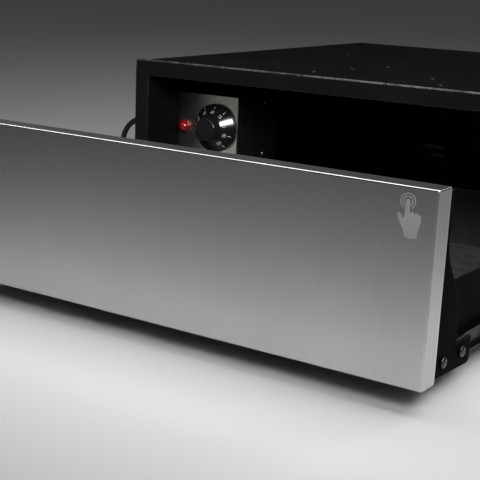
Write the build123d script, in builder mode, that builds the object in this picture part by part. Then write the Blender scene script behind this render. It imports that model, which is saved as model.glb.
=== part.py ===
from build123d import *
import math
import os

# Built-in warming drawer, millimetres. +X is the user's right, -Y is the front, +Z is up.
# The origin is on the underside of the housing, at the centre of its footprint.
# The drawer is modelled open, as far as its rails let it travel.

# ---- driving dimensions: housing ----
housing_width = 560.0
housing_height = 180.0
housing_depth = 530.0
sheet = 1.0
frame_overlap = 17.5
frame_sheet = 2.0
frame_top_bar = 19.0
frame_bottom_bar = 17.0
frame_lip_depth = 14.0
frame_edge_radius = 1.0
cover_flange = 12.0
liner_gap = 1.0
rear_bay_depth = 125.0
carcass_hole_radius = 2.5
carcass_hole_spacing = 28.0
carcass_hole_depth = 28.0
carcass_hole_height = 56.0
vent_slot_length = 42.0
vent_slot_height = 4.0
vent_slot_pitch_x = 60.0
vent_slot_pitch_z = 12.0
vent_rows = 6
vent_columns = 3

# ---- driving dimensions: front panel and drawer ----
panel_gap = 2.0
panel_depth = 19.0
panel_sheet = 1.2
panel_edge_radius = 1.4
travel_loss = 5.0
tray_rear_clearance = 12.0
tray_wall_height = 58.0
tray_floor_height = 26.0
tray_corner_radius = 6.0
mat_thickness = 2.5
mat_margin = 2.0
bracket_sheet = 2.0
bracket_flange = 20.0
bracket_foot_height = 18.0
bracket_foot_reach = 86.0
bracket_gap_to_bottom = 2.0
bracket_foot_drop = 3.0
bracket_top_inset = 4.0
bracket_head_reach = 30.5
bracket_heel_reach = 59.5
bracket_curve_points = ((31.0, 42.0), (40.5, 63.0), (53.5, 86.0), (58.5, 108.0))

# ---- driving dimensions: telescopic rails ----
rail_thickness = 12.7
rail_sheet = 1.2
fixed_rail_height = 35.0
rail_rear_clearance = 3.0
fixed_flange = 9.0
mid_web_place = 2.6
mid_flange = 8.0
drawer_flange = 5.3
outer_ball_radius = 1.45
inner_ball_radius = 1.75
ball_clearance = 0.05
drawer_rail_height = 17.0
cage_sheet = 0.5
outer_cage_length = 96.0
inner_cage_length = 90.0
rail_start_clearance = 3.0

# ---- driving dimensions: control box ----
plate_width = 87.0
plate_height = 91.0
plate_sheet = 1.2
plate_fold = 7.0
plate_setback = 64.0
plate_bottom = 47.0
control_box_depth = 91.0
dial_height = 99.0
dial_from_right = 30.9
dial_radius = 29.0
dial_rim = 3.0
dial_cone_radius = 17.0
dial_cone_height = 14.0
dial_hub_radius = 14.0
dial_total_height = 23.0
dial_clearance = 1.0
dial_skin = 2.0
shaft_radius = 3.0
running_clearance = 0.05
thermostat_width = 44.0
thermostat_height = 34.0
thermostat_depth = 31.0
lamp_height = 96.5
lamp_from_right = 77.5
lamp_radius = 8.0
lamp_flange = 2.0
lamp_dome_inset = 0.8
lamp_dome_height = 7.0
lamp_dome_rounding = 6.8
lamp_body_radius = 6.0
lamp_body_length = 18.0

# ---- driving dimensions: fan, heater and latch ----
fan_radius = 50.0
fan_blade_width = 20.0
fan_blade_count = 18
fan_height = 82.0
fan_shaft_radius = 3.0
plenum_depth = 49.0
plenum_half_width = 112.0
heater_tube_radius = 3.25
heater_half_width = 73.0
heater_half_height = 68.0
heater_bend_radius = 30.0
motor_radius = 31.0
motor_length = 38.0
latch_width = 18.0
latch_height = 50.0
latch_depth = 34.0
latch_plunger_radius = 4.0
latch_travel = 6.0
latch_wall_clearance = 89.0
striker_sheet = 1.5
striker_gap = 0.5

# ---- driving dimensions: mains lead ----
cord_radius = 3.5
gland_height = 97.0
gland_setback = 100.0
gland_thread_radius = 8.0
gland_flange_radius = 12.0
gland_flange = 8.0
relief_length = 30.0
coil_turns = 4
coil_pitch = 7.6
coil_outer_radius = 42.5

# ---- places worked out from those dimensions ----
front = -housing_depth / 2
back = housing_depth / 2
half_housing = housing_width / 2
inner_half = half_housing - sheet
latch_place = inner_half - latch_wall_clearance
frame_width = housing_width + 2 * frame_overlap
cavity_depth = housing_depth - rear_bay_depth
travel = cavity_depth - travel_loss
tray_length = cavity_depth - panel_depth - bracket_sheet - tray_rear_clearance
mouth_bottom = frame_bottom_bar
mouth_top = housing_height - frame_top_bar
panel_half = inner_half - panel_gap
panel_bottom = mouth_bottom + panel_gap
panel_top = mouth_top - panel_gap
panel_height = panel_top - panel_bottom
panel_front = front - travel
panel_back = panel_front + panel_depth
liner_bottom = mouth_top + liner_gap
baffle_front = front + cavity_depth
baffle_back = baffle_front + sheet
housing_back_face = back - sheet

plate_right = -inner_half + plate_width + 0.5
plate_left = plate_right - plate_width
plate_front = front + plate_setback
plate_back = plate_front + plate_sheet
plate_top = plate_bottom + plate_height
box_right = plate_right - plate_sheet
box_back = plate_front + control_box_depth
dial_x = plate_right - dial_from_right
lamp_x = plate_right - lamp_from_right

support_sheet = 1.5
support_gap = 3.5
support_left = plate_right + support_gap
tray_right = inner_half - rail_thickness
tray_left = support_left + support_sheet + rail_thickness
tray_front = panel_back + bracket_sheet
tray_back = tray_front + tray_length
tray_top = tray_floor_height + tray_wall_height
tray_middle = (tray_left + tray_right) / 2
tray_width = tray_right - tray_left

bracket_foot_bottom = panel_bottom + bracket_gap_to_bottom
bracket_foot_top = bracket_foot_bottom + bracket_foot_height
bracket_offset = 5.7
screw_height = panel_bottom + 11.5
screw_reaches = (37.2, 69.4)

fixed_rail_front = front + bracket_foot_reach + rail_start_clearance + 1.0
fixed_rail_length = baffle_front - rail_rear_clearance - fixed_rail_front
mid_rail_front = fixed_rail_front - travel / 2
drawer_rail_front = panel_front + bracket_foot_reach - 24.0

base_screw_radius = 2.0
pan_head_radius = 4.2
pan_head_height = 2.6

os.makedirs("parts", exist_ok=True)


def save(piece, label):
    piece.part.label = label
    export_step(piece.part, f"parts/{label}.step")


def facing_back(y):
    """Sketch plane at depth y: local x is +X and local y is +Z."""
    return Plane.XZ.offset(-y)


# ================= housing =================

with BuildPart() as base_panel:
    with BuildSketch(Plane.XY):
        with Locations((0, (front + frame_sheet + housing_back_face) / 2)):
            Rectangle(2 * inner_half, housing_depth - frame_sheet - sheet)
    extrude(amount=sheet)
save(base_panel, "base_panel")

for side, label in ((1, "right"), (-1, "left")):
    with BuildPart() as side_panel:
        with BuildSketch(Plane.YZ.offset(inner_half if side > 0 else -half_housing)):
            with Locations(((front + frame_sheet + housing_back_face) / 2, (housing_height - sheet) / 2)):
                Rectangle(housing_depth - frame_sheet - sheet, housing_height - sheet)
            with Locations((front + carcass_hole_depth, carcass_hole_height)):
                with GridLocations(0, carcass_hole_spacing, 1, 2):
                    Circle(carcass_hole_radius, mode=Mode.SUBTRACT)
            if side < 0:
                with Locations((front + gland_setback, gland_height)):
                    Circle(gland_thread_radius, mode=Mode.SUBTRACT)
        extrude(amount=sheet)
    save(side_panel, f"side_panel_{label}")

with BuildPart() as top_cover:
    with BuildSketch(Plane.XY.offset(housing_height - sheet)):
        with Locations((0, (front + frame_sheet + housing_back_face) / 2)):
            Rectangle(housing_width, housing_depth - frame_sheet - sheet)
    extrude(amount=sheet)
    with BuildSketch(Plane.XY.offset(housing_height - sheet)):
        with Locations((0, (front + frame_sheet + housing_back_face) / 2)):
            with GridLocations(2 * inner_half - sheet, 0, 2, 1):
                Rectangle(sheet, housing_depth - frame_sheet - sheet)
    extrude(amount=-cover_flange)
save(top_cover, "top_cover")

with BuildPart() as front_frame:
    with BuildSketch(facing_back(front)):
        with Locations((0, housing_height / 2)):
            Rectangle(frame_width, housing_height)
        with Locations((0, (mouth_bottom + mouth_top) / 2)):
            Rectangle(2 * inner_half, mouth_top - mouth_bottom, mode=Mode.SUBTRACT)
    extrude(amount=-frame_sheet)
    fillet(front_frame.edges().group_by(Axis.Y)[0], radius=frame_edge_radius)
    with BuildSketch(facing_back(front + frame_sheet)):
        with Locations((0, mouth_top + sheet / 2), (0, mouth_bottom - sheet / 2)):
            Rectangle(2 * inner_half, sheet)
    extrude(amount=-frame_lip_depth)
save(front_frame, "front_frame")

with BuildPart() as rear_panel:
    with BuildSketch(facing_back(housing_back_face)):
        with Locations((0, housing_height / 2)):
            Rectangle(housing_width, housing_height)
            for vent_side in (-1, 1):
                with Locations((vent_side * half_housing / 2, 0)):
                    with GridLocations(vent_slot_pitch_x, vent_slot_pitch_z, vent_columns, vent_rows):
                        SlotOverall(vent_slot_length, vent_slot_height, mode=Mode.SUBTRACT)
    extrude(amount=-sheet)
save(rear_panel, "rear_panel")

liner_front = front + frame_sheet + 1.0
with BuildPart() as ceiling_liner:
    with BuildSketch(Plane.XY.offset(liner_bottom)):
        with Locations((0, (liner_front + baffle_front) / 2)):
            Rectangle(2 * inner_half, baffle_front - liner_front)
    extrude(amount=sheet)
save(ceiling_liner, "ceiling_liner")

insulation_inset = 4.0
insulation_thickness = housing_height - sheet - liner_bottom - sheet
with BuildPart() as top_insulation:
    with BuildSketch(Plane.XY.offset(liner_bottom + sheet)):
        with Locations((0, (liner_front + baffle_front) / 2)):
            Rectangle(2 * (inner_half - insulation_inset),
                      baffle_front - liner_front - 2 * insulation_inset)
    extrude(amount=insulation_thickness)
save(top_insulation, "top_insulation")

intake_ring_step = 9.0
intake_rings = 4
intake_hole_radius = 3.0
outlet_slot_length = 36.0
outlet_slot_width = 5.0
outlet_slot_pitch = 11.0
outlet_slots = 6
outlet_center = 88.0
outlet_height = 120.0
loom_radius = 4.0
loom_wall_clearance = 24.0
loom_x = -inner_half + loom_wall_clearance
loom_height = 14.0
latch_center_height = 60.0
with BuildPart() as rear_baffle:
    with BuildSketch(facing_back(baffle_front)):
        with Locations((0, (sheet + liner_bottom + sheet) / 2)):
            Rectangle(2 * inner_half, liner_bottom)
        with Locations((0, fan_height)):
            Circle(intake_hole_radius, mode=Mode.SUBTRACT)
            for ring in range(1, intake_rings):
                with PolarLocations(ring * intake_ring_step, 6 * ring):
                    Circle(intake_hole_radius, mode=Mode.SUBTRACT)
        for outlet_side in (-1, 1):
            with Locations((outlet_side * outlet_center, outlet_height)):
                with GridLocations(0, outlet_slot_pitch, 1, outlet_slots // 2):
                    SlotOverall(outlet_slot_length, outlet_slot_width, mode=Mode.SUBTRACT)
            with Locations((outlet_side * outlet_center, 2 * fan_height - outlet_height)):
                with GridLocations(0, outlet_slot_pitch, 1, outlet_slots // 2):
                    SlotOverall(outlet_slot_length, outlet_slot_width, mode=Mode.SUBTRACT)
        with Locations((loom_x, loom_height)):
            Circle(loom_radius + 1.0, mode=Mode.SUBTRACT)
        with Locations((latch_place, latch_center_height)):
            Circle(latch_plunger_radius + 1.0, mode=Mode.SUBTRACT)
    extrude(amount=-sheet)
save(rear_baffle, "rear_baffle")

cover_screw_places = ((-78, 42), (-66, 110), (-49, 165), (46, 84), (80, 29), (-172, 293))
cover_screw_head = 3.0
with BuildPart() as top_cover_screws:
    for screw_x, screw_depth in cover_screw_places:
        with BuildSketch(Plane.XY.offset(housing_height)):
            with Locations((screw_x, front + screw_depth)):
                Circle(cover_screw_head)
        extrude(amount=1.2)
    fillet(top_cover_screws.edges().group_by(Axis.Z)[-1], radius=0.9)
save(top_cover_screws, "top_cover_screws")

# ================= left rail support =================

support_rise = 20.0
support_top = screw_height + support_rise
support_foot = 22.0
with BuildPart() as left_rail_support:
    with BuildSketch(facing_back(fixed_rail_front)):
        with Locations((support_left + support_sheet / 2, (sheet + support_top) / 2)):
            Rectangle(support_sheet, support_top - sheet)
        with Locations((support_left - support_foot / 2, sheet + support_sheet / 2)):
            Rectangle(support_foot, support_sheet)
    extrude(amount=-(baffle_front - fixed_rail_front))
save(left_rail_support, "left_rail_support")

# ================= telescopic rails =================
# Each rail is drawn by its distance s from the wall that carries it, and mirrored to the left.

mid_rail_height = fixed_rail_height - 2 * rail_sheet - 4 * (outer_ball_radius + ball_clearance)
mid_inner = mid_rail_height - 2 * rail_sheet
drawer_rail_length = fixed_rail_length + (fixed_rail_front - travel - drawer_rail_front) - 9.0
rail_sides = ((1, "right", inner_half), (-1, "left", support_left + support_sheet))


rail_middle = screw_height + 2.0


def channel(side, wall, web_place, flange_from, flange_to, height, start):
    """A C section: its web at web_place, its two flanges from flange_from to flange_to."""
    with BuildSketch(facing_back(start)) as section:
        with Locations((wall - side * (web_place + rail_sheet / 2), rail_middle)):
            Rectangle(rail_sheet, height)
        with Locations((wall - side * (flange_from + flange_to) / 2, rail_middle)):
            with GridLocations(0, height - rail_sheet, 1, 2):
                Rectangle(flange_to - flange_from, rail_sheet)
    return section.sketch


def cage_strip(side, wall, web_place, flange_to, half_height, start):
    """The thin C section of a ball cage."""
    with BuildSketch(facing_back(start)) as section:
        with Locations((wall - side * (web_place + cage_sheet / 2), rail_middle)):
            Rectangle(cage_sheet, 2 * half_height + cage_sheet)
        with Locations((wall - side * (web_place + flange_to) / 2, rail_middle)):
            with GridLocations(0, 2 * half_height, 1, 2):
                Rectangle(flange_to - web_place, cage_sheet)
    return section.sketch


drawer_web = rail_thickness - rail_sheet
bore_y = tuple(panel_front + reach for reach in screw_reaches)
for side, label, wall in rail_sides:
    with BuildPart() as fixed_rail:
        extrude(channel(side, wall, 0.0, 0.0, fixed_flange, fixed_rail_height, fixed_rail_front),
                amount=-fixed_rail_length)
    save(fixed_rail, f"fixed_rail_{label}")
    with BuildPart() as mid_rail:
        extrude(channel(side, wall, mid_web_place, mid_web_place, mid_web_place + mid_flange,
                        mid_rail_height, mid_rail_front), amount=-fixed_rail_length)
    save(mid_rail, f"mid_rail_{label}")
    with BuildPart() as drawer_rail:
        extrude(channel(side, wall, drawer_web, rail_thickness - drawer_flange, rail_thickness,
                        drawer_rail_height, drawer_rail_front), amount=-drawer_rail_length)
        with BuildSketch(Plane.YZ.offset(wall - side * rail_thickness)):
            with Locations((bore_y[1], screw_height)):
                Circle(base_screw_radius)
        extrude(amount=side * rail_sheet, mode=Mode.SUBTRACT)
    save(drawer_rail, f"drawer_rail_{label}")

outer_ball_height = fixed_rail_height / 2 - rail_sheet - outer_ball_radius - ball_clearance
inner_ball_height = drawer_rail_height / 2 + inner_ball_radius + ball_clearance
outer_ball_place = 6.0
inner_ball_place = 9.0
ball_pitch = 12.0
outer_cage_front = fixed_rail_front + 8.0
inner_cage_front = mid_rail_front + 6.0
outer_ball_count = int(outer_cage_length / ball_pitch)
inner_ball_count = int(inner_cage_length / ball_pitch)
for side, label, wall in rail_sides:
    with BuildPart() as outer_cage:
        extrude(cage_strip(side, wall, 1.6, 8.2, outer_ball_height, outer_cage_front),
                amount=-outer_cage_length)
        with Locations((wall - side * outer_ball_place, outer_cage_front + outer_cage_length / 2, 0)):
            with GridLocations(0, ball_pitch, 1, outer_ball_count):
                with Locations((0, 0, rail_middle - outer_ball_height),
                               (0, 0, rail_middle + outer_ball_height)):
                    Sphere(outer_ball_radius)
    save(outer_cage, f"outer_cage_{label}")
    with BuildPart() as inner_cage:
        extrude(cage_strip(side, wall, 4.4, 11.0, inner_ball_height, inner_cage_front),
                amount=-inner_cage_length)
        with Locations((wall - side * inner_ball_place, inner_cage_front + inner_cage_length / 2, 0)):
            with GridLocations(0, ball_pitch, 1, inner_ball_count):
                with Locations((0, 0, rail_middle - inner_ball_height),
                               (0, 0, rail_middle + inner_ball_height)):
                    Sphere(inner_ball_radius)
    save(inner_cage, f"inner_cage_{label}")

# ================= control box =================

with BuildPart() as control_box:
    with BuildSketch(facing_back(plate_back)):
        with Locations(((-inner_half + box_right) / 2, plate_bottom + plate_height / 2)):
            Rectangle(box_right + inner_half, plate_height - 1.0)
    extrude(amount=-(box_back - plate_back))
    offset(amount=-sheet, openings=control_box.faces().sort_by(Axis.Y)[0])
    with BuildSketch(Plane.YZ.offset(-inner_half)):
        with Locations((front + gland_setback, gland_height)):
            Circle(gland_thread_radius)
    extrude(amount=sheet, mode=Mode.SUBTRACT)
    with BuildSketch(facing_back(box_back - sheet)):
        with Locations((loom_x, plate_bottom + 20.0)):
            Circle(loom_radius)
    extrude(amount=-sheet, mode=Mode.SUBTRACT)
save(control_box, "control_box")

with BuildPart() as control_plate:
    with BuildSketch(facing_back(plate_front)):
        with Locations(((plate_left + plate_right) / 2, plate_bottom + plate_height / 2)):
            Rectangle(plate_width, plate_height)
        with Locations((dial_x, dial_height)):
            Circle(shaft_radius + 2.0, mode=Mode.SUBTRACT)
        with Locations((lamp_x, lamp_height)):
            Circle(lamp_body_radius, mode=Mode.SUBTRACT)
    extrude(amount=-plate_sheet)
    with BuildSketch(facing_back(plate_back)):
        with Locations((plate_right - plate_sheet / 2, plate_bottom + plate_height / 2)):
            Rectangle(plate_sheet, plate_height)
    extrude(amount=-(plate_fold - plate_sheet))
    outer_corner = control_plate.edges().filter_by(Axis.Z).group_by(Axis.Y)[0].sort_by(Axis.X)[-1]
    fillet(outer_corner, radius=0.9)
save(control_plate, "control_plate")

with BuildPart() as thermostat_body:
    with BuildSketch(facing_back(plate_back)):
        with Locations((dial_x, dial_height)):
            RectangleRounded(thermostat_width, thermostat_height, 3.0)
    extrude(amount=-thermostat_depth)
    with BuildSketch(facing_back(plate_back)):
        with Locations((dial_x, dial_height)):
            Circle(shaft_radius + running_clearance)
    extrude(amount=-(thermostat_depth - 12.0), mode=Mode.SUBTRACT)
save(thermostat_body, "thermostat_body")

dial_back = plate_front - dial_clearance
shaft_front = dial_back - dial_total_height + 5.0
shaft_back = plate_back + thermostat_depth - 14.0
with BuildPart() as thermostat_shaft:
    with BuildSketch(facing_back(shaft_front)):
        with Locations((dial_x, dial_height)):
            Circle(shaft_radius)
    extrude(amount=-(shaft_back - shaft_front))
save(thermostat_shaft, "thermostat_shaft")

# The dial's half section: x is the distance from its axis, y the height over the plate.
dial_plane = Plane(origin=(dial_x, dial_back, dial_height), x_dir=(1, 0, 0), z_dir=(0, 0, 1))
with BuildPart() as thermostat_dial:
    with BuildSketch(dial_plane):
        with BuildLine():
            Polyline((shaft_radius, -dial_skin), (shaft_radius, -(dial_total_height - 5.0)),
                     (0, -(dial_total_height - 5.0)), (0, -dial_total_height),
                     (dial_hub_radius - 1.0, -dial_total_height))
            ThreePointArc((dial_hub_radius - 1.0, -dial_total_height),
                          (dial_hub_radius - 0.3, -dial_total_height + 0.3),
                          (dial_hub_radius, -dial_total_height + 1.0))
            Polyline((dial_hub_radius, -dial_total_height + 1.0), (dial_cone_radius, -dial_cone_height),
                     (dial_radius, -dial_rim), (dial_radius, 0), (dial_radius - dial_skin, 0),
                     (dial_radius - dial_skin, -dial_skin), (shaft_radius, -dial_skin))
        make_face()
    revolve(axis=Axis((dial_x, dial_back, dial_height), (0, 1, 0)))
save(thermostat_dial, "thermostat_dial")

with BuildPart() as lamp_lens:
    with BuildSketch(facing_back(plate_front)):
        with Locations((lamp_x, lamp_height)):
            Circle(lamp_radius)
    extrude(amount=lamp_flange)
    with BuildSketch(facing_back(plate_front - lamp_flange)):
        with Locations((lamp_x, lamp_height)):
            Circle(lamp_radius - lamp_dome_inset)
    extrude(amount=lamp_dome_height)
    fillet(lamp_lens.edges().group_by(Axis.Y)[0], radius=lamp_dome_rounding)
save(lamp_lens, "lamp_lens")

with BuildPart() as lamp_body:
    with BuildSketch(facing_back(plate_front)):
        with Locations((lamp_x, lamp_height)):
            Circle(lamp_body_radius)
    extrude(amount=-lamp_body_length)
    with BuildSketch(facing_back(plate_front + lamp_body_length)):
        with Locations((lamp_x, lamp_height)):
            with GridLocations(5.0, 0, 2, 1):
                Rectangle(0.8, 4.8)
    extrude(amount=-6.0)
save(lamp_body, "lamp_body")

box_screw_setback = 124.6
box_screw_drop = 9.5
box_screw_rise = 17.5
box_screw_y = front + box_screw_setback
box_screw_heights = (plate_top - box_screw_drop, plate_bottom + box_screw_rise)
with BuildPart() as control_box_screws:
    for box_screw_height in box_screw_heights:
        with BuildSketch(Plane.YZ.offset(box_right)):
            with Locations((box_screw_y, box_screw_height)):
                Circle(3.0)
        extrude(amount=1.6)
    fillet(control_box_screws.edges().group_by(Axis.X)[-1], radius=1.2)
save(control_box_screws, "control_box_screws")

shelf_height = 60.0
shelf_reach = 55.0
inner_wall = box_right - sheet
with BuildPart() as terminal_shelf:
    with BuildSketch(facing_back(box_screw_y - 13.0)):
        with Locations((inner_wall - support_sheet / 2, (shelf_height + plate_top - 4.0) / 2)):
            Rectangle(support_sheet, plate_top - 4.0 - shelf_height)
        with Locations((inner_wall - shelf_reach / 2, shelf_height + support_sheet / 2)):
            Rectangle(shelf_reach, support_sheet)
    extrude(amount=-26.0)
save(terminal_shelf, "terminal_shelf")

terminal_width = 36.0
with BuildPart() as terminal_block:
    with BuildSketch(Plane.XY.offset(shelf_height + support_sheet)):
        with Locations((inner_wall - shelf_reach + terminal_width / 2 + 2.0, box_screw_y)):
            Rectangle(terminal_width, 20.0)
    extrude(amount=16.0)
    with BuildSketch(Plane.XY.offset(shelf_height + support_sheet + 16.0)):
        with Locations((inner_wall - shelf_reach + terminal_width / 2 + 2.0, box_screw_y)):
            with GridLocations(terminal_width / 3, 11.0, 3, 2):
                Circle(2.6)
    extrude(amount=-7.0, mode=Mode.SUBTRACT)
save(terminal_block, "terminal_block")

# ================= gland and strain relief =================

gland_y = front + gland_setback
gland_nut_thickness = 5.0
gland_outside = -half_housing - gland_flange
with BuildPart() as cable_gland:
    with BuildSketch(Plane.YZ.offset(gland_outside)):
        with Locations((gland_y, gland_height)):
            RegularPolygon(gland_flange_radius, 6)
    extrude(amount=gland_flange)
    with BuildSketch(Plane.YZ.offset(-half_housing)):
        with Locations((gland_y, gland_height)):
            Circle(gland_thread_radius)
    extrude(amount=2 * sheet + gland_nut_thickness + 2.0)
save(cable_gland, "cable_gland")

with BuildPart() as gland_nut:
    with BuildSketch(Plane.YZ.offset(-inner_half + sheet)):
        with Locations((gland_y, gland_height)):
            RegularPolygon(gland_flange_radius - 1.0, 6)
            Circle(gland_thread_radius, mode=Mode.SUBTRACT)
    extrude(amount=gland_nut_thickness)
save(gland_nut, "gland_nut")

relief_end = gland_outside - relief_length
with BuildPart() as strain_relief:
    with BuildSketch(Plane.YZ.offset(gland_outside)):
        with Locations((gland_y, gland_height)):
            Circle(2 * cord_radius)
    with BuildSketch(Plane.YZ.offset(relief_end)):
        with Locations((gland_y, gland_height)):
            Circle(cord_radius + 1.2)
    loft()
save(strain_relief, "strain_relief")

# ================= fan, heater and sensors =================

plenum_back = baffle_back + plenum_depth
plenum_bottom = sheet + 1.0
plenum_top = liner_bottom
with BuildPart() as plenum_cover:
    with BuildSketch(facing_back(baffle_back)):
        with Locations((0, (plenum_bottom + plenum_top) / 2)):
            Rectangle(2 * plenum_half_width, plenum_top - plenum_bottom)
    extrude(amount=-plenum_depth)
    offset(amount=-sheet, openings=plenum_cover.faces().sort_by(Axis.Y)[0])
    with BuildSketch(facing_back(plenum_back)):
        with Locations((0, fan_height)):
            Circle(fan_shaft_radius + 2.0)
    extrude(amount=sheet, mode=Mode.SUBTRACT)
save(plenum_cover, "plenum_cover")

fan_front = baffle_back + 8.0
fan_disc = 1.5
with BuildPart() as fan_wheel:
    with BuildSketch(facing_back(fan_front + fan_blade_width)):
        with Locations((0, fan_height)):
            Circle(fan_radius)
    extrude(amount=-fan_disc)
    with BuildSketch(facing_back(fan_front + 4.0)):
        with Locations((0, fan_height)):
            Circle(9.0)
    extrude(amount=-fan_blade_width + 4.0)
    with BuildSketch(facing_back(fan_front)):
        with Locations((0, fan_height)):
            with PolarLocations(0.72 * fan_radius, fan_blade_count):
                with Locations(Location((0, 0), 28.0)):
                    Rectangle(0.5 * fan_radius, 1.2)
    extrude(amount=-fan_blade_width)
    with BuildSketch(facing_back(fan_front)):
        with Locations((0, fan_height)):
            Circle(fan_shaft_radius)
    extrude(amount=-fan_blade_width - fan_disc, mode=Mode.SUBTRACT)
save(fan_wheel, "fan_wheel")

motor_front = plenum_back
with BuildPart() as fan_shaft:
    with BuildSketch(facing_back(fan_front + 2.0)):
        with Locations((0, fan_height)):
            Circle(fan_shaft_radius)
    extrude(amount=-(motor_front + motor_length - 10.0 - fan_front - 2.0))
save(fan_shaft, "fan_shaft")

with BuildPart() as fan_motor:
    with BuildSketch(facing_back(motor_front)):
        with Locations((0, fan_height)):
            Circle(motor_radius)
    extrude(amount=-motor_length)
    with BuildSketch(facing_back(motor_front)):
        with Locations((0, fan_height)):
            Rectangle(2 * motor_radius + 24.0, 22.0)
    extrude(amount=-3.0)
    fillet(fan_motor.edges().filter_by(GeomType.CIRCLE).group_by(Axis.Y)[-1], radius=4.0)
    with BuildSketch(facing_back(motor_front)):
        with Locations((0, fan_height)):
            Circle(fan_shaft_radius + running_clearance)
    extrude(amount=-(motor_length - 9.0), mode=Mode.SUBTRACT)
save(fan_motor, "fan_motor")

heater_y = fan_front + fan_blade_width / 2
heater_bottom = fan_height - heater_half_height
heater_top = fan_height + heater_half_height
heater_end = 16.0
with BuildPart() as heater_element:
    with BuildLine() as heater_line:
        FilletPolyline((-heater_end, heater_y, heater_bottom),
                       (-heater_half_width, heater_y, heater_bottom),
                       (-heater_half_width, heater_y, heater_top),
                       (heater_half_width, heater_y, heater_top),
                       (heater_half_width, heater_y, heater_bottom),
                       (heater_end, heater_y, heater_bottom), radius=heater_bend_radius)
    with BuildSketch(Plane(origin=heater_line.line @ 0, z_dir=heater_line.line % 0)):
        Circle(heater_tube_radius)
    sweep()
save(heater_element, "heater_element")

with BuildPart() as heater_terminal:
    with BuildSketch(facing_back(heater_y - 8.0)):
        with Locations((0, heater_bottom)):
            Rectangle(2 * heater_end, 16.0)
    extrude(amount=-(plenum_back - sheet - heater_y + 8.0))
save(heater_terminal, "heater_terminal")

with BuildPart() as thermal_cutout:
    with BuildSketch(facing_back(plenum_back)):
        with Locations((heater_half_width, fan_height)):
            Circle(8.0)
    extrude(amount=-6.0)
    with BuildSketch(facing_back(plenum_back + 6.0)):
        with Locations((heater_half_width, fan_height)):
            with GridLocations(7.0, 0, 2, 1):
                Rectangle(0.8, 6.3)
    extrude(amount=-8.0)
save(thermal_cutout, "thermal_cutout")

bulb_drop = 17.0
bulb_height = liner_bottom - bulb_drop
bulb_radius = 3.0
bulb_y = baffle_front - 6.0
bulb_start = -206.0
bulb_length = 80.0
tube_radius = 1.0
tube_x = -222.0
tube_shift = 14.0
tube_rise = 21.0
tube_height = dial_height + tube_rise
with BuildPart() as sensor_bulb:
    with BuildLine() as tube_line:
        FilletPolyline((tube_x, box_back, tube_height), (tube_x, box_back + 60.0, tube_height),
                       (tube_x - tube_shift, baffle_front - 90.0, bulb_height),
                       (tube_x - tube_shift, bulb_y, bulb_height), (bulb_start, bulb_y, bulb_height),
                       radius=[12.0, 12.0, 12.0])
    with BuildSketch(Plane(origin=tube_line.line @ 0, z_dir=tube_line.line % 0)):
        Circle(tube_radius)
    sweep()
    with BuildSketch(Plane.YZ.offset(bulb_start)):
        with Locations((bulb_y, bulb_height)):
            Circle(bulb_radius)
    extrude(amount=bulb_length)
    for clip_place in (0.2, 0.8):
        with BuildSketch(Plane.YZ.offset(bulb_start + clip_place * bulb_length)):
            with Locations((baffle_front - 5.0, bulb_height)):
                Rectangle(10.0, 8.0)
        extrude(amount=5.0)
save(sensor_bulb, "sensor_bulb")

loom_end_height = 44.0
with BuildPart() as wiring_loom:
    with BuildLine() as loom_line:
        FilletPolyline((loom_x, box_back - sheet, plate_bottom + 20.0),
                       (loom_x, box_back + 55.0, plate_bottom + 20.0),
                       (loom_x, box_back + 110.0, loom_height),
                       (loom_x, baffle_back + 40.0, loom_height),
                       (loom_x + 70.0, baffle_back + 30.0, loom_end_height),
                       (-plenum_half_width, baffle_back + 30.0, loom_end_height),
                       radius=[22.0, 22.0, 22.0, 22.0])
    with BuildSketch(Plane(origin=loom_line.line @ 0, z_dir=loom_line.line % 0)):
        Circle(loom_radius)
    sweep()
save(wiring_loom, "wiring_loom")

# ================= push latch =================

striker_closed = tray_back + travel + striker_sheet
plunger_front = striker_closed + striker_gap
with BuildPart() as latch_body:
    with BuildSketch(facing_back(baffle_back)):
        with Locations((latch_place, latch_center_height)):
            Rectangle(latch_width, latch_height)
    extrude(amount=-latch_depth)
    with BuildSketch(facing_back(baffle_back)):
        with Locations((latch_place, latch_center_height)):
            Circle(latch_plunger_radius + running_clearance)
    extrude(amount=-(latch_depth - 4.0), mode=Mode.SUBTRACT)
save(latch_body, "latch_body")

plunger_back = baffle_back + latch_depth - 4.0 - latch_travel - 1.0
with BuildPart() as latch_plunger:
    with BuildSketch(facing_back(plunger_front)):
        with Locations((latch_place, latch_center_height)):
            Circle(latch_plunger_radius)
    extrude(amount=-(plunger_back - plunger_front))
    chamfer(latch_plunger.edges().group_by(Axis.Y)[0], length=0.8)
save(latch_plunger, "latch_plunger")

with BuildPart() as latch_striker:
    with BuildSketch(facing_back(tray_back)):
        with Locations((latch_place, latch_center_height)):
            RectangleRounded(24.0, 34.0, 3.0)
    extrude(amount=-striker_sheet)
save(latch_striker, "latch_striker")

# ================= drawer =================

panel_middle = (panel_bottom + panel_top) / 2
with BuildPart() as front_panel:
    with BuildSketch(facing_back(panel_front)):
        with Locations((0, panel_middle)):
            Rectangle(2 * panel_half, panel_height)
    extrude(amount=-panel_depth)
    corner_edges = front_panel.edges().filter_by(Axis.Y)
    fillet(front_panel.edges().group_by(Axis.Y)[0] + corner_edges, radius=panel_edge_radius)
    with BuildSketch(facing_back(panel_front + panel_sheet)):
        with Locations((0, panel_middle)):
            Rectangle(2 * (panel_half - panel_sheet), panel_height - 2 * panel_sheet)
    extrude(amount=-(panel_depth - panel_sheet), mode=Mode.SUBTRACT)
save(front_panel, "front_panel")

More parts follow.
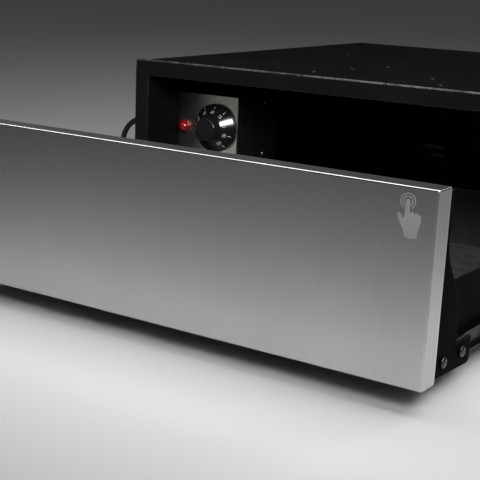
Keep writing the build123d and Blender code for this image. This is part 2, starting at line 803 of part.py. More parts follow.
liner_fold = 14.0
with BuildPart() as panel_liner:
    with BuildSketch(facing_back(panel_back - sheet)):
        with Locations((0, panel_middle)):
            Rectangle(2 * (panel_half - panel_sheet), panel_height - 2 * panel_sheet)
    extrude(amount=-sheet)
    with BuildSketch(facing_back(panel_back - sheet)):
        with Locations((0, panel_middle)):
            with GridLocations(0, panel_height - 2 * panel_sheet - sheet, 1, 2):
                Rectangle(2 * (panel_half - panel_sheet), sheet)
    extrude(amount=liner_fold)
save(panel_liner, "panel_liner")

wool_clearance = 0.5
wool_back = panel_back - sheet - wool_clearance
wool_front = panel_front + panel_sheet + wool_clearance
with BuildPart() as panel_insulation:
    with BuildSketch(facing_back(wool_front)):
        with Locations((0, panel_middle)):
            Rectangle(2 * (panel_half - panel_sheet - wool_clearance),
                      panel_height - 2 * (panel_sheet + sheet + wool_clearance))
    extrude(amount=-(wool_back - wool_front))
save(panel_insulation, "panel_insulation")

# A bracket's outline: y is the distance behind the panel's front, z the height.
bracket_top = panel_top - bracket_top_inset
bracket_curve = [(panel_front + reach, panel_top - drop) for reach, drop in bracket_curve_points]
bracket_sides = ((1, "right", tray_right + bracket_offset), (-1, "left", tray_left - bracket_offset))
for side, label, inner_face in bracket_sides:
    with BuildPart() as bracket:
        with BuildSketch(Plane.YZ.offset(inner_face)):
            with BuildLine():
                Polyline((panel_back, bracket_foot_bottom), (panel_back, bracket_top),
                         (panel_front + bracket_head_reach, bracket_top), bracket_curve[0])
                Spline(*bracket_curve, tangents=((0.04, -1.0), (0.1, -1.0)))
                Polyline(bracket_curve[-1], (panel_front + bracket_heel_reach, bracket_foot_top),
                         (panel_front + bracket_foot_reach, bracket_foot_top),
                         (panel_front + bracket_foot_reach, bracket_foot_bottom - bracket_foot_drop),
                         (panel_back, bracket_foot_bottom))
            make_face()
        extrude(amount=side * bracket_sheet)
        rear_edges = bracket.edges().filter_by(Axis.X).group_by(Axis.Y)[-1]
        fillet(rear_edges.sort_by(Axis.Z)[0], radius=5.0)
        fillet(bracket.edges().filter_by(Axis.X).group_by(Axis.Y)[-1].sort_by(Axis.Z)[-1], radius=2.0)
        with BuildSketch(facing_back(panel_back)):
            flange_middle = inner_face + side * bracket_sheet - side * bracket_flange / 2
            with Locations((flange_middle, (bracket_foot_bottom + bracket_top) / 2)):
                Rectangle(bracket_flange, bracket_top - bracket_foot_bottom)
        extrude(amount=-bracket_sheet)
        with BuildSketch(Plane.YZ.offset(inner_face)):
            with Locations(*[(y, screw_height) for y in bore_y]):
                Circle(base_screw_radius)
        extrude(amount=side * bracket_sheet, mode=Mode.SUBTRACT)
    save(bracket, f"bracket_{label}")

with BuildPart() as bracket_spacers:
    for side, label, inner_face in bracket_sides:
        web = rail_sheet
        for reach_number, y in enumerate(bore_y):
            start = web if reach_number else 0.0
            with BuildSketch(Plane.YZ.offset(inner_face - side * (bracket_offset - start))):
                with Locations((y, screw_height)):
                    Circle(base_screw_radius + 1.6)
                    Circle(base_screw_radius, mode=Mode.SUBTRACT)
            extrude(amount=side * (bracket_offset - start))
save(bracket_spacers, "bracket_spacers")

with BuildPart() as bracket_screws:
    for side, label, inner_face in bracket_sides:
        outer_face = inner_face + side * bracket_sheet
        with BuildSketch(Plane.YZ.offset(outer_face)):
            with Locations(*[(y, screw_height) for y in bore_y]):
                Circle(pan_head_radius)
        extrude(amount=side * pan_head_height)
        with BuildSketch(Plane.YZ.offset(outer_face)):
            with Locations(*[(y, screw_height) for y in bore_y]):
                Circle(base_screw_radius)
        extrude(amount=-side * (bracket_sheet + bracket_offset + sheet))
    heads = bracket_screws.edges().filter_by(GeomType.CIRCLE).group_by(SortBy.RADIUS)[-1]
    head_rims = heads.group_by(Axis.X)
    fillet(head_rims[-1] + head_rims[0], radius=1.6)
save(bracket_screws, "bracket_screws")

with BuildPart() as tray:
    with BuildSketch(Plane.XY.offset(tray_floor_height)):
        with Locations((tray_middle, (tray_front + tray_back) / 2)):
            RectangleRounded(tray_width, tray_length, tray_corner_radius)
    extrude(amount=tray_wall_height)
    offset(amount=-sheet, openings=tray.faces().sort_by(Axis.Z)[-1])
    for side, label, inner_face in bracket_sides:
        with BuildSketch(Plane.YZ.offset(inner_face - side * bracket_offset)):
            with Locations(*[(y, screw_height) for y in bore_y]):
                Circle(base_screw_radius)
        extrude(amount=-side * 2 * sheet, mode=Mode.SUBTRACT)
save(tray, "tray")

mat_inset = sheet + mat_margin
with BuildPart() as tray_mat:
    with BuildSketch(Plane.XY.offset(tray_floor_height + sheet)):
        with Locations((tray_middle, (tray_front + tray_back) / 2)):
            RectangleRounded(tray_width - 2 * mat_inset, tray_length - 2 * mat_inset, tray_corner_radius)
    extrude(amount=mat_thickness)
save(tray_mat, "tray_mat")

# ================= mains lead =================
# The free stretch leaves the strain relief, bends down to the surface, runs back along the
# housing's left side and round its corner into a coil behind it.

coil_middle = (-150.0, 330.0)
cord_points = (
    (relief_end, gland_y, gland_height),
    (-356.0, gland_y, gland_height),
    (-391.0, gland_y, 83.0),
    (-403.0, gland_y + 2.0, 49.0),
    (-404.0, gland_y + 16.0, 18.0),
    (-402.0, gland_y + 48.0, cord_radius),
    (-396.0, -76.0, cord_radius),
    (-376.0, -6.0, cord_radius),
    (-352.0, 70.0, cord_radius),
    (-345.0, 148.0, cord_radius),
    (-342.0, 213.0, cord_radius),
    (-326.0, 268.0, cord_radius),
    (-293.0, 318.0, cord_radius),
    (-243.0, coil_middle[1] + coil_outer_radius - 2.0, cord_radius),
    (coil_middle[0] - 46.0, coil_middle[1] + coil_outer_radius, cord_radius),
    (coil_middle[0], coil_middle[1] + coil_outer_radius, cord_radius),
)


def corner_radii(points):
    """As large an arc as its two runs allow, at each inner point."""
    radii = []
    for before, corner, after in zip(points, points[1:], points[2:]):
        run_in = Vector(*corner) - Vector(*before)
        run_out = Vector(*after) - Vector(*corner)
        half_turn = math.radians(run_in.get_angle(run_out)) / 2
        radii.append(0.45 * min(run_in.length, run_out.length) / math.tan(half_turn))
    return radii


cord_radii = corner_radii(cord_points)
print("lead radii", [round(radius, 1) for radius in cord_radii])
with BuildPart() as power_cord:
    with BuildLine() as cord_line:
        FilletPolyline(*cord_points, radius=cord_radii)
    with BuildSketch(Plane(origin=cord_line.line @ 0, z_dir=cord_line.line % 0)):
        Circle(cord_radius)
    sweep()
save(power_cord, "power_cord")
cord_length = sum(edge.length for edge in cord_line.line.edges())
cord_section = math.pi * cord_radius ** 2
print("lead free stretch", round(cord_length, 1), "volume over section times length",
      round(power_cord.part.volume / (cord_section * cord_length), 4))

# The coil spirals in on the surface, climbs one layer in a half turn, and spirals out on top.
half_coil = coil_turns / 2
climb = 2 * cord_radius + 0.6


def coil_point(turns):
    """A point of the coil's centre line, after that many turns from its outer end."""
    inward = min(turns, half_coil)
    outward = max(turns - half_coil, 0.0)
    radius = coil_outer_radius - coil_pitch * (inward - outward)
    rise = min(max((turns - half_coil + 0.25) / 0.5, 0.0), 1.0)
    height = cord_radius + climb * (1 - math.cos(math.pi * rise)) / 2
    angle = math.pi / 2 - 2 * math.pi * turns
    return Vector(coil_middle[0] + radius * math.cos(angle),
                  coil_middle[1] + radius * math.sin(angle), height)


def coil_direction(turns):
    step = 0.002
    return (coil_point(turns + step) - coil_point(turns - step)).normalized()


def biarc(start, start_direction, end, end_direction):
    """Two arcs that leave start and reach end along the given directions."""
    chord = end - start
    total = start_direction + end_direction
    spread = 2 * (1 - start_direction.dot(end_direction))
    along = chord.dot(total)
    reach = (math.sqrt(along ** 2 + spread * chord.dot(chord)) - along) / spread
    first_corner = start + start_direction * reach
    last_corner = end - end_direction * reach
    middle = (first_corner + last_corner) * 0.5
    TangentArc(start, middle, tangent=start_direction)
    TangentArc(middle, end, tangent=last_corner - first_corner)


quarter_count = int(coil_turns * 4)
tail = 2 * cord_radius
coil_start = coil_point(0.0)
coil_end = coil_point(coil_turns)
start_direction = Vector(1, 0, 0)
end_direction = Vector(1, 0, 0)
with BuildPart() as power_cord_coil:
    with BuildLine() as coil_line:
        for quarter in range(quarter_count):
            first = quarter / 4
            last = (quarter + 1) / 4
            leave = start_direction if quarter == 0 else coil_direction(first)
            arrive = end_direction if quarter == quarter_count - 1 else coil_direction(last)
            biarc(coil_point(first), leave, coil_point(last), arrive)
        Line(coil_end, coil_end + end_direction * tail)
    with BuildSketch(Plane(origin=coil_start, z_dir=start_direction)):
        Circle(cord_radius)
    sweep()
save(power_cord_coil, "power_cord_coil")

coil_steps = 240
coil_samples = [coil_point(coil_turns * step / coil_steps) for step in range(coil_steps + 1)]
apart = int(coil_steps / coil_turns * 0.5)
least_gap = min(
    (first - second).length - 2 * cord_radius
    for number, first in enumerate(coil_samples)
    for second in coil_samples[number + apart:]
)
coil_length = sum(edge.length for edge in coil_line.line.edges())
print("coil length", round(coil_length, 1), "least gap to itself", round(least_gap, 2), "volume ratio",
      round(power_cord_coil.part.volume / (cord_section * coil_length), 4))
print("whole lead", round(cord_length + coil_length, 1))

# The plug lies on the surface beside the coil, at the end of the lead.
plug_relief_length = 24.0
plug_taper_length = 14.0
plug_body_length = 22.0
plug_width = 34.0
plug_sleeve_radius = 3.8
plug_relief_radius = 5.0
pin_radius = 2.4
pin_length = 19.0
pin_spacing = 19.0
plug_start = coil_end.X + tail
taper_start = plug_start + plug_relief_length
body_start = taper_start + plug_taper_length
plug_end = body_start + plug_body_length
with BuildPart() as power_plug:
    with BuildSketch(Plane.YZ.offset(plug_start)):
        with Locations((coil_end.Y, coil_end.Z)):
            Circle(plug_sleeve_radius)
    with BuildSketch(Plane.YZ.offset(taper_start)):
        with Locations((coil_end.Y, coil_end.Z)):
            Circle(plug_relief_radius)
    loft()
    with BuildSketch(Plane.YZ.offset(taper_start)):
        with Locations((coil_end.Y, coil_end.Z)):
            RectangleRounded(2 * plug_relief_radius, 2 * plug_relief_radius, plug_relief_radius - 0.5)
    with BuildSketch(Plane.YZ.offset(body_start)):
        with Locations((coil_end.Y, coil_end.Z)):
            RectangleRounded(plug_width, 2 * coil_end.Z, 8.0)
    loft()
    with BuildSketch(Plane.YZ.offset(body_start)):
        with Locations((coil_end.Y, coil_end.Z)):
            RectangleRounded(plug_width, 2 * coil_end.Z, 8.0)
    extrude(amount=plug_body_length)
save(power_plug, "power_plug")

with BuildPart() as plug_pins:
    with BuildSketch(Plane.YZ.offset(plug_end)):
        with Locations((coil_end.Y, coil_end.Z)):
            with GridLocations(pin_spacing, 0, 2, 1):
                Circle(pin_radius)
    extrude(amount=pin_length)
    fillet(plug_pins.edges().group_by(Axis.X)[-1], radius=1.6)
save(plug_pins, "plug_pins")
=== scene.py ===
import math
import random

import bmesh
import bpy
from mathutils import Matrix, Vector, noise


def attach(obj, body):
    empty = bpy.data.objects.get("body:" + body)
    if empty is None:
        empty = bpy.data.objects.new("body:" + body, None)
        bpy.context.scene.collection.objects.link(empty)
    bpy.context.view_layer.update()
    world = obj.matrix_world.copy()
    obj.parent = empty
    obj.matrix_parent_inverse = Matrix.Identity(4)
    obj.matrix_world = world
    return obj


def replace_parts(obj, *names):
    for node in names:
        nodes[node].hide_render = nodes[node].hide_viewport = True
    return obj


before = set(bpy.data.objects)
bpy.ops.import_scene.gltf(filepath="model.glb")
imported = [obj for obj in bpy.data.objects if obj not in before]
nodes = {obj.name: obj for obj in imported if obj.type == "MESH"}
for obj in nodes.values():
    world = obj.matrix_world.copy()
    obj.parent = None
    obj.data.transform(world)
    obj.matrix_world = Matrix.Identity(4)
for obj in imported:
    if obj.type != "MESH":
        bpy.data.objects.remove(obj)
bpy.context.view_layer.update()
scene = bpy.context.scene
scene.view_settings.view_transform = "Standard"
print("frame loaded,", len(nodes), "nodes")

# the view that the photograph was taken from, turn and tilt in degrees
cameraView = {
    "place": (0.57466, -1.35072, 0.29872), "turn": 34.647, "tilt": 15.796, "roll": 2.131,
    "lens": 86.41, "sensor": 36.0, "shift": (0.0582, 0.0900), "nearest": 0.02,
}


def placeCamera(view):
    turn, tilt, roll = (math.radians(view[key]) for key in ("turn", "tilt", "roll"))
    level = Vector((math.cos(turn), math.sin(turn), 0.0))
    ahead = Vector((-math.sin(turn) * math.cos(tilt), math.cos(turn) * math.cos(tilt), -math.sin(tilt)))
    above = level.cross(ahead)
    right = level * math.cos(roll) + above * math.sin(roll)
    up = above * math.cos(roll) - level * math.sin(roll)
    data = bpy.data.cameras.new("photoCamera")
    data.sensor_width = view["sensor"]
    data.lens = view["lens"]
    data.shift_x, data.shift_y = view["shift"]
    data.clip_start = view["nearest"]
    camera = bpy.data.objects.new("photoCamera", data)
    scene.collection.objects.link(camera)
    axes = Matrix((right, up, -ahead)).transposed().to_4x4()
    camera.matrix_world = Matrix.Translation(view["place"]) @ axes
    scene.camera = camera


placeCamera(cameraView)

mainsLead = {
    "radius": 0.0035,
    "route": (
        (-0.318, -0.165, 0.097), (-0.356, -0.165, 0.097), (-0.391, -0.165, 0.083),
        (-0.403, -0.163, 0.049), (-0.404, -0.149, 0.018), (-0.402, -0.117, 0.0035),
        (-0.396, -0.076, 0.0035), (-0.376, -0.006, 0.0035), (-0.352, 0.070, 0.0035),
        (-0.345, 0.148, 0.0035), (-0.342, 0.213, 0.0035), (-0.326, 0.268, 0.0035),
        (-0.293, 0.318, 0.0035), (-0.243, 0.3705, 0.0035), (-0.196, 0.3725, 0.0035),
    ),
    "coilMiddle": (-0.150, 0.330), "coilRadius": 0.0425, "turnSpacing": 0.0076,
    "turns": 4, "pointsPerTurn": 16, "tail": 0.007, "length": 1.678,
    "crossing": 0.5,    # turns that the climb from the lower to the upper layer takes
    "order": 3, "sectionSteps": 5, "lengthSteps": 6,
}


def coilPoints(lead):
    # inwards on the floor and outwards again on top, so that both ends are outside
    middleX, middleY = lead["coilMiddle"]
    swell = 4 / (3 + math.cos(2 * math.pi / lead["pointsPerTurn"]))    # a spline runs inside its points
    half = lead["turns"] / 2
    points = []
    for i in range(lead["turns"] * lead["pointsPerTurn"] + 1):
        turn = i / lead["pointsPerTurn"]
        inward = min(turn, half) - max(turn - half, 0.0)
        radius = (lead["coilRadius"] - lead["turnSpacing"] * inward) * swell
        climb = min(max((turn - half) / lead["crossing"] + 0.5, 0.0), 1.0)
        height = lead["radius"] + lead["turnSpacing"] * (1 - math.cos(math.pi * climb)) / 2
        angle = math.pi / 2 - 2 * math.pi * turn
        points.append((middleX + radius * math.cos(angle), middleY + radius * math.sin(angle), height))
    start, last = points[0], points[-1]
    points[0] = (middleX, middleY + lead["coilRadius"], start[2])
    points[-1] = (middleX, middleY + lead["coilRadius"], last[2])
    return points + [(middleX + lead["tail"], middleY + lead["coilRadius"], last[2])]


def leadCurve(name, points, lead):
    curve = bpy.data.curves.new(name, "CURVE")
    curve.dimensions = "3D"
    curve.bevel_depth = 1.0    # times each point's own radius
    curve.bevel_resolution = lead["sectionSteps"]
    curve.resolution_u = lead["lengthSteps"]
    curve.use_fill_caps = True
    spline = curve.splines.new("NURBS")
    spline.points.add(len(points) - 1)
    for point, place in zip(spline.points, points):
        point.co = (*place, 1.0)
        point.radius = lead["radius"]
    spline.order_u = lead["order"]
    spline.use_endpoint_u = True
    made = bpy.data.objects.new(name, curve)
    scene.collection.objects.link(made)
    return made


lead = leadCurve("mainsLead", [*mainsLead["route"], *coilPoints(mainsLead)], mainsLead)
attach(lead, "housing")
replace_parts(lead, "power_cord", "power_cord_coil")
print("mains lead laid")


def add(tree, kind, sockets=None, **settings):
    node = tree.nodes.new("ShaderNode" + kind)
    for key, value in settings.items():
        setattr(node, key, value)
    for key, value in (sockets or {}).items():
        if isinstance(value, bpy.types.NodeSocket):
            tree.links.new(value, node.inputs[key])
        elif isinstance(value, tuple) and len(value) == 3 and node.inputs[key].type == "RGBA":
            node.inputs[key].default_value = (*value, 1.0)
        else:
            node.inputs[key].default_value = value
    return node


def sums(tree, operation, first, second, clamp=False):
    return add(tree, "Math", {0: first, 1: second}, operation=operation, use_clamp=clamp).outputs[0]


def ranged(tree, value, lowIn, highIn, lowOut, highOut):
    return add(tree, "MapRange", {0: value, 1: lowIn, 2: highIn, 3: lowOut, 4: highOut}).outputs[0]


def blended(tree, share, first, second):
    return add(tree, "Mix", {0: share, 6: first, 7: second}, data_type="RGBA").outputs[2]


def here(tree):
    return add(tree, "TexCoord").outputs["Object"]


def newGroup(name, inputs, outputs):
    group = bpy.data.node_groups.new(name, "ShaderNodeTree")
    for label, value in inputs.items():
        kind = "NodeSocketVector" if isinstance(value, tuple) else "NodeSocketFloat"
        group.interface.new_socket(label, in_out="INPUT", socket_type=kind).default_value = value
    for label, kind in outputs.items():
        group.interface.new_socket(label, in_out="OUTPUT", socket_type="NodeSocket" + kind)
    return group, group.nodes.new("NodeGroupInput").outputs, group.nodes.new("NodeGroupOutput").inputs


# the stretch of a noise's values that is spread out to 0...1
noiseSpan = {"clouds": (0.32, 0.68), "lines": (0.25, 0.75), "wearAndHighlight": (0.42, 0.62), "film": (0.45, 0.80)}


def makeClouds():
    # soft change over the surface, Size in metres
    inputs = {"Size": 0.05, "Low": 0.0, "High": 1.0}
    group, given, result = newGroup("softClouds", inputs, {"Value": "Float"})
    scale = sums(group, "DIVIDE", 1.0, given["Size"])
    cloud = add(group, "TexNoise", {"Vector": here(group), "Scale": scale, "Detail": 4.0,
                                    "Roughness": 0.55})
    spread = ranged(group, cloud.outputs[0], *noiseSpan["clouds"], given["Low"], given["High"])
    group.links.new(spread, result["Value"])
    return group


def makeStreaks():
    # fine lines drawn out one way, Stretch is the number of lines per metre along each axis
    group, given, result = newGroup("drawnLines", {"Stretch": (20.0, 900.0, 900.0)}, {"Value": "Float"})
    drawn = add(group, "VectorMath", {0: here(group), 1: given["Stretch"]}, operation="MULTIPLY").outputs[0]
    line = add(group, "TexNoise", {"Vector": drawn, "Scale": 1.0, "Detail": 3.0, "Roughness": 0.7})
    group.links.new(ranged(group, line.outputs[0], *noiseSpan["lines"], 0.0, 1.0), result["Value"])
    return group


finerSkin = {"times": 3.7, "share": 0.35}


def makeSkin():
    # the small hills of powder coat and moulded plastic, Grain in metres
    group, given, result = newGroup("coatSkin", {"Grain": 0.0012}, {"Height": "Float"})
    place = here(group)
    wideScale = sums(group, "DIVIDE", 1.0, given["Grain"])
    fineScale = sums(group, "DIVIDE", finerSkin["times"], given["Grain"])
    wide = add(group, "TexNoise", {"Vector": place, "Scale": wideScale, "Detail": 2.0})
    fine = add(group, "TexNoise", {"Vector": place, "Scale": fineScale, "Detail": 1.0})
    both = sums(group, "MULTIPLY_ADD", fine.outputs[0], finerSkin["share"])
    group.links.new(wide.outputs[0], both.node.inputs[2])
    group.links.new(both, result["Height"])
    return group


edgeTurn = (0.99, 0.80)    # cosine of a rounded edge's turn, where wear and painted edge highlight start and where they are full
wearAndHighlightPatches = 100.0    # per metre


def makeWearAndHighlight():
    # worn edges, and on some finishes a painted edge highlight, Width in metres, broken up into patches
    # with Least between them
    inputs = {"Width": 0.0008, "Amount": 0.5, "Least": 0.0}
    group, given, result = newGroup("edgeWearAndHighlight", inputs, {"Mask": "Float"})
    rounded = add(group, "Bevel", {"Radius": given["Width"]}, samples=6).outputs["Normal"]
    flat = add(group, "NewGeometry").outputs["Normal"]
    turned = add(group, "VectorMath", {0: rounded, 1: flat}, operation="DOT_PRODUCT").outputs["Value"]
    edge = ranged(group, turned, *edgeTurn, 0.0, 1.0)
    broken = add(group, "TexNoise", {"Vector": here(group), "Scale": wearAndHighlightPatches, "Detail": 5.0,
                                     "Roughness": 0.7})
    patches = ranged(group, broken.outputs[0], *noiseSpan["wearAndHighlight"], given["Least"], 1.0)
    mask = sums(group, "MULTIPLY", sums(group, "MULTIPLY", edge, patches), given["Amount"], clamp=True)
    group.links.new(mask, result["Mask"])
    return group


dustFall = {
    "upward": (0.2, 1.0),    # the normal's height, from the least dust to the most
    "least": 0.12, "filmScale": 9.0, "filmMost": 0.45, "speckEdge": (0.10, 0.04),
    "speckless": 0.86,    # the share of cells without a speck
}


def makeDust():
    # a thin film and a few specks, most on what faces up, Speck in metres
    group, given, result = newGroup("settledDust", {"Amount": 0.3, "Speck": 0.004}, {"Mask": "Float"})
    place = here(group)
    upward = add(group, "SeparateXYZ", {0: add(group, "NewGeometry").outputs["Normal"]}).outputs[2]
    fallen = ranged(group, upward, *dustFall["upward"], dustFall["least"], 1.0)
    film = add(group, "TexNoise", {"Vector": place, "Scale": dustFall["filmScale"], "Detail": 6.0,
                                   "Roughness": 0.65})
    filmed = ranged(group, film.outputs[0], *noiseSpan["film"], 0.0, dustFall["filmMost"])
    cells = add(group, "TexVoronoi", {"Vector": place, "Scale": sums(group, "DIVIDE", 1.0, given["Speck"])})
    near = ranged(group, cells.outputs["Distance"], *dustFall["speckEdge"], 0.0, 1.0)
    drawn = add(group, "SeparateXYZ", {0: cells.outputs["Color"]}).outputs[0]
    specks = sums(group, "MULTIPLY", near, sums(group, "GREATER_THAN", drawn, dustFall["speckless"]))
    both = sums(group, "MAXIMUM", filmed, specks)
    mask = sums(group, "MULTIPLY", sums(group, "MULTIPLY", both, fallen), given["Amount"], clamp=True)
    group.links.new(mask, result["Mask"])
    return group


softClouds, drawnLines, coatSkin, edgeWearAndHighlight, settledDust = (
    makeClouds(), makeStreaks(), makeSkin(), makeWearAndHighlight(), makeDust())
print("shader groups made")


def effect(tree, group, **values):
    node = tree.nodes.new("ShaderNodeGroup")
    node.node_tree = group
    for key, value in values.items():
        node.inputs[key].default_value = value
    return node.outputs[0]


def newMaterial(name, fixed):
    material = bpy.data.materials.new(name)
    material.use_nodes = True
    tree = material.node_tree
    tree.nodes.clear()
    surface = tree.nodes.new("ShaderNodeBsdfPrincipled")
    output = tree.nodes.new("ShaderNodeOutputMaterial")
    tree.links.new(surface.outputs[0], output.inputs["Surface"])
    for label, value in fixed.items():
        surface.inputs[label].default_value = value
    return material, tree, surface.inputs


def clouded(tree, size, span):
    return effect(tree, softClouds, Size=size, Low=span[0], High=span[1])


def coloured(tree, surface, tone, rough):
    tree.links.new(tone, surface["Base Color"])
    tree.links.new(rough, surface["Roughness"])


def bumped(tree, surface, height, look):
    bump = add(tree, "Bump", {"Height": height, "Strength": look["bump"], "Distance": look["bumpHeight"]})
    tree.links.new(bump.outputs[0], surface["Normal"])


def paintedWallLightShare(tree, wallLight):
    # painted light: lighter on the walls' inner sides, most near the floor
    place = here(tree)
    inward = add(tree, "VectorMath", {0: wallLight["middle"], 1: place}, operation="SUBTRACT").outputs[0]
    normal = add(tree, "NewGeometry").outputs["Normal"]
    facing = add(tree, "VectorMath", {0: inward, 1: normal}, operation="DOT_PRODUCT").outputs["Value"]
    inside = sums(tree, "GREATER_THAN", facing, 0.0)
    height = add(tree, "SeparateXYZ", {0: place}).outputs[2]
    low = sums(tree, "POWER", ranged(tree, height, *wallLight["heights"], 1.0, 0.0), wallLight["falloff"])
    mottle = clouded(tree, wallLight["size"], (wallLight["least"], 1.0))
    return sums(tree, "MULTIPLY", sums(tree, "MULTIPLY", inside, low), mottle)


plainCoat = {
    "shine": 0.5, "lacquer": 0.0, "dust": 0.0, "speck": 0.005, "dustColour": (0.34, 0.33, 0.31),
    "dustRough": 0.4, "wearAndHighlight": 0.0, "wearAndHighlightWidth": 0.0007, "wearAndHighlightLeast": 0.0, "highlightAbove": None,
    "bareAndHighlight": (0.25, 0.25, 0.26), "paintedWallLight": None, "roughCloud": 0.6, "bumpHeight": 0.0002,
}


def coated(name, own):
    # powder coat, paint, rubber and moulded plastic
    look = {**plainCoat, **own}
    fixed = {"Specular IOR Level": look["shine"], "Coat Weight": look["lacquer"]}
    material, tree, surface = newMaterial(name, fixed)
    tone = blended(tree, effect(tree, softClouds, Size=look["cloud"]), look["colour"], look["paler"])
    rough = clouded(tree, look["cloud"] * look["roughCloud"], look["rough"])
    if look["dust"]:
        dust = effect(tree, settledDust, Amount=look["dust"], Speck=look["speck"])
        tone = blended(tree, dust, tone, look["dustColour"])
        rough = sums(tree, "ADD", rough, sums(tree, "MULTIPLY", dust, look["dustRough"]))
    # edges lightened towards the edge colour: worn paint, and on the frame and housing a painted highlight
    if look["wearAndHighlight"]:
        wearAndHighlight = effect(tree, edgeWearAndHighlight, Width=look["wearAndHighlightWidth"], Amount=look["wearAndHighlight"], Least=look["wearAndHighlightLeast"])
        if look["highlightAbove"]:    # painted highlight: the upper edges alone, and brighter towards the user's right
            across, _, height = add(tree, "SeparateXYZ", {0: here(tree)}).outputs
            wearAndHighlight = sums(tree, "MULTIPLY", wearAndHighlight, ranged(tree, height, *look["highlightAbove"]))
            wearAndHighlight = sums(tree, "MULTIPLY", wearAndHighlight, ranged(tree, across, *look["highlightAcross"]))
        tone = blended(tree, wearAndHighlight, tone, look["bareAndHighlight"])
    # painted light on the inner walls, lighter near the floor
    if look["paintedWallLight"]:
        tone = blended(tree, paintedWallLightShare(tree, look["paintedWallLight"]), tone, look["paintedWallLight"]["colour"])
    coloured(tree, surface, tone, rough)
    bumped(tree, surface, effect(tree, coatSkin, Grain=look["grain"]), look)
    return material


plainMetal = {
    "cloudShare": 1.0, "wearAndHighlight": 0.0, "wearAndHighlightWidth": 0.0006, "wearAndHighlightLeast": 0.0, "lineRough": 0.06,
    "roughCloud": 0.5, "bumpHeight": 0.0001,
}


def metal(name, own):
    # uncoated metal with drawn lines, clouding and bright or dull patches, and edges lightened by wear and
    # by painted highlight
    look = {**plainMetal, **own}
    material, tree, surface = newMaterial(name, {"Metallic": 1.0})
    lines = effect(tree, drawnLines, Stretch=look["lines"])
    cloud = effect(tree, softClouds, Size=look["cloud"])
    tone = blended(tree, sums(tree, "MULTIPLY", cloud, look["cloudShare"]), look["colour"], look["darker"])
    tone = blended(tree, sums(tree, "MULTIPLY", lines, look["lineShare"]), tone, look["darker"])
    # edges lightened towards the edge colour: wear, and on the front panel a painted highlight
    if look["wearAndHighlight"]:
        wearAndHighlight = effect(tree, edgeWearAndHighlight, Width=look["wearAndHighlightWidth"], Amount=look["wearAndHighlight"], Least=look["wearAndHighlightLeast"])
        tone = blended(tree, wearAndHighlight, tone, look["bareAndHighlight"])
    rough = clouded(tree, look["cloud"] * look["roughCloud"], look["rough"])
    rough = sums(tree, "ADD", rough, sums(tree, "MULTIPLY", lines, look["lineRough"]))
    coloured(tree, surface, tone, rough)
    bumped(tree, surface, lines, look)
    return material


screwGrain = {
    "cloud": 0.003, "lines": (600.0, 600.0, 600.0), "lineShare": 0.4, "bump": 0.05, "wearAndHighlightWidth": 0.0003,
}

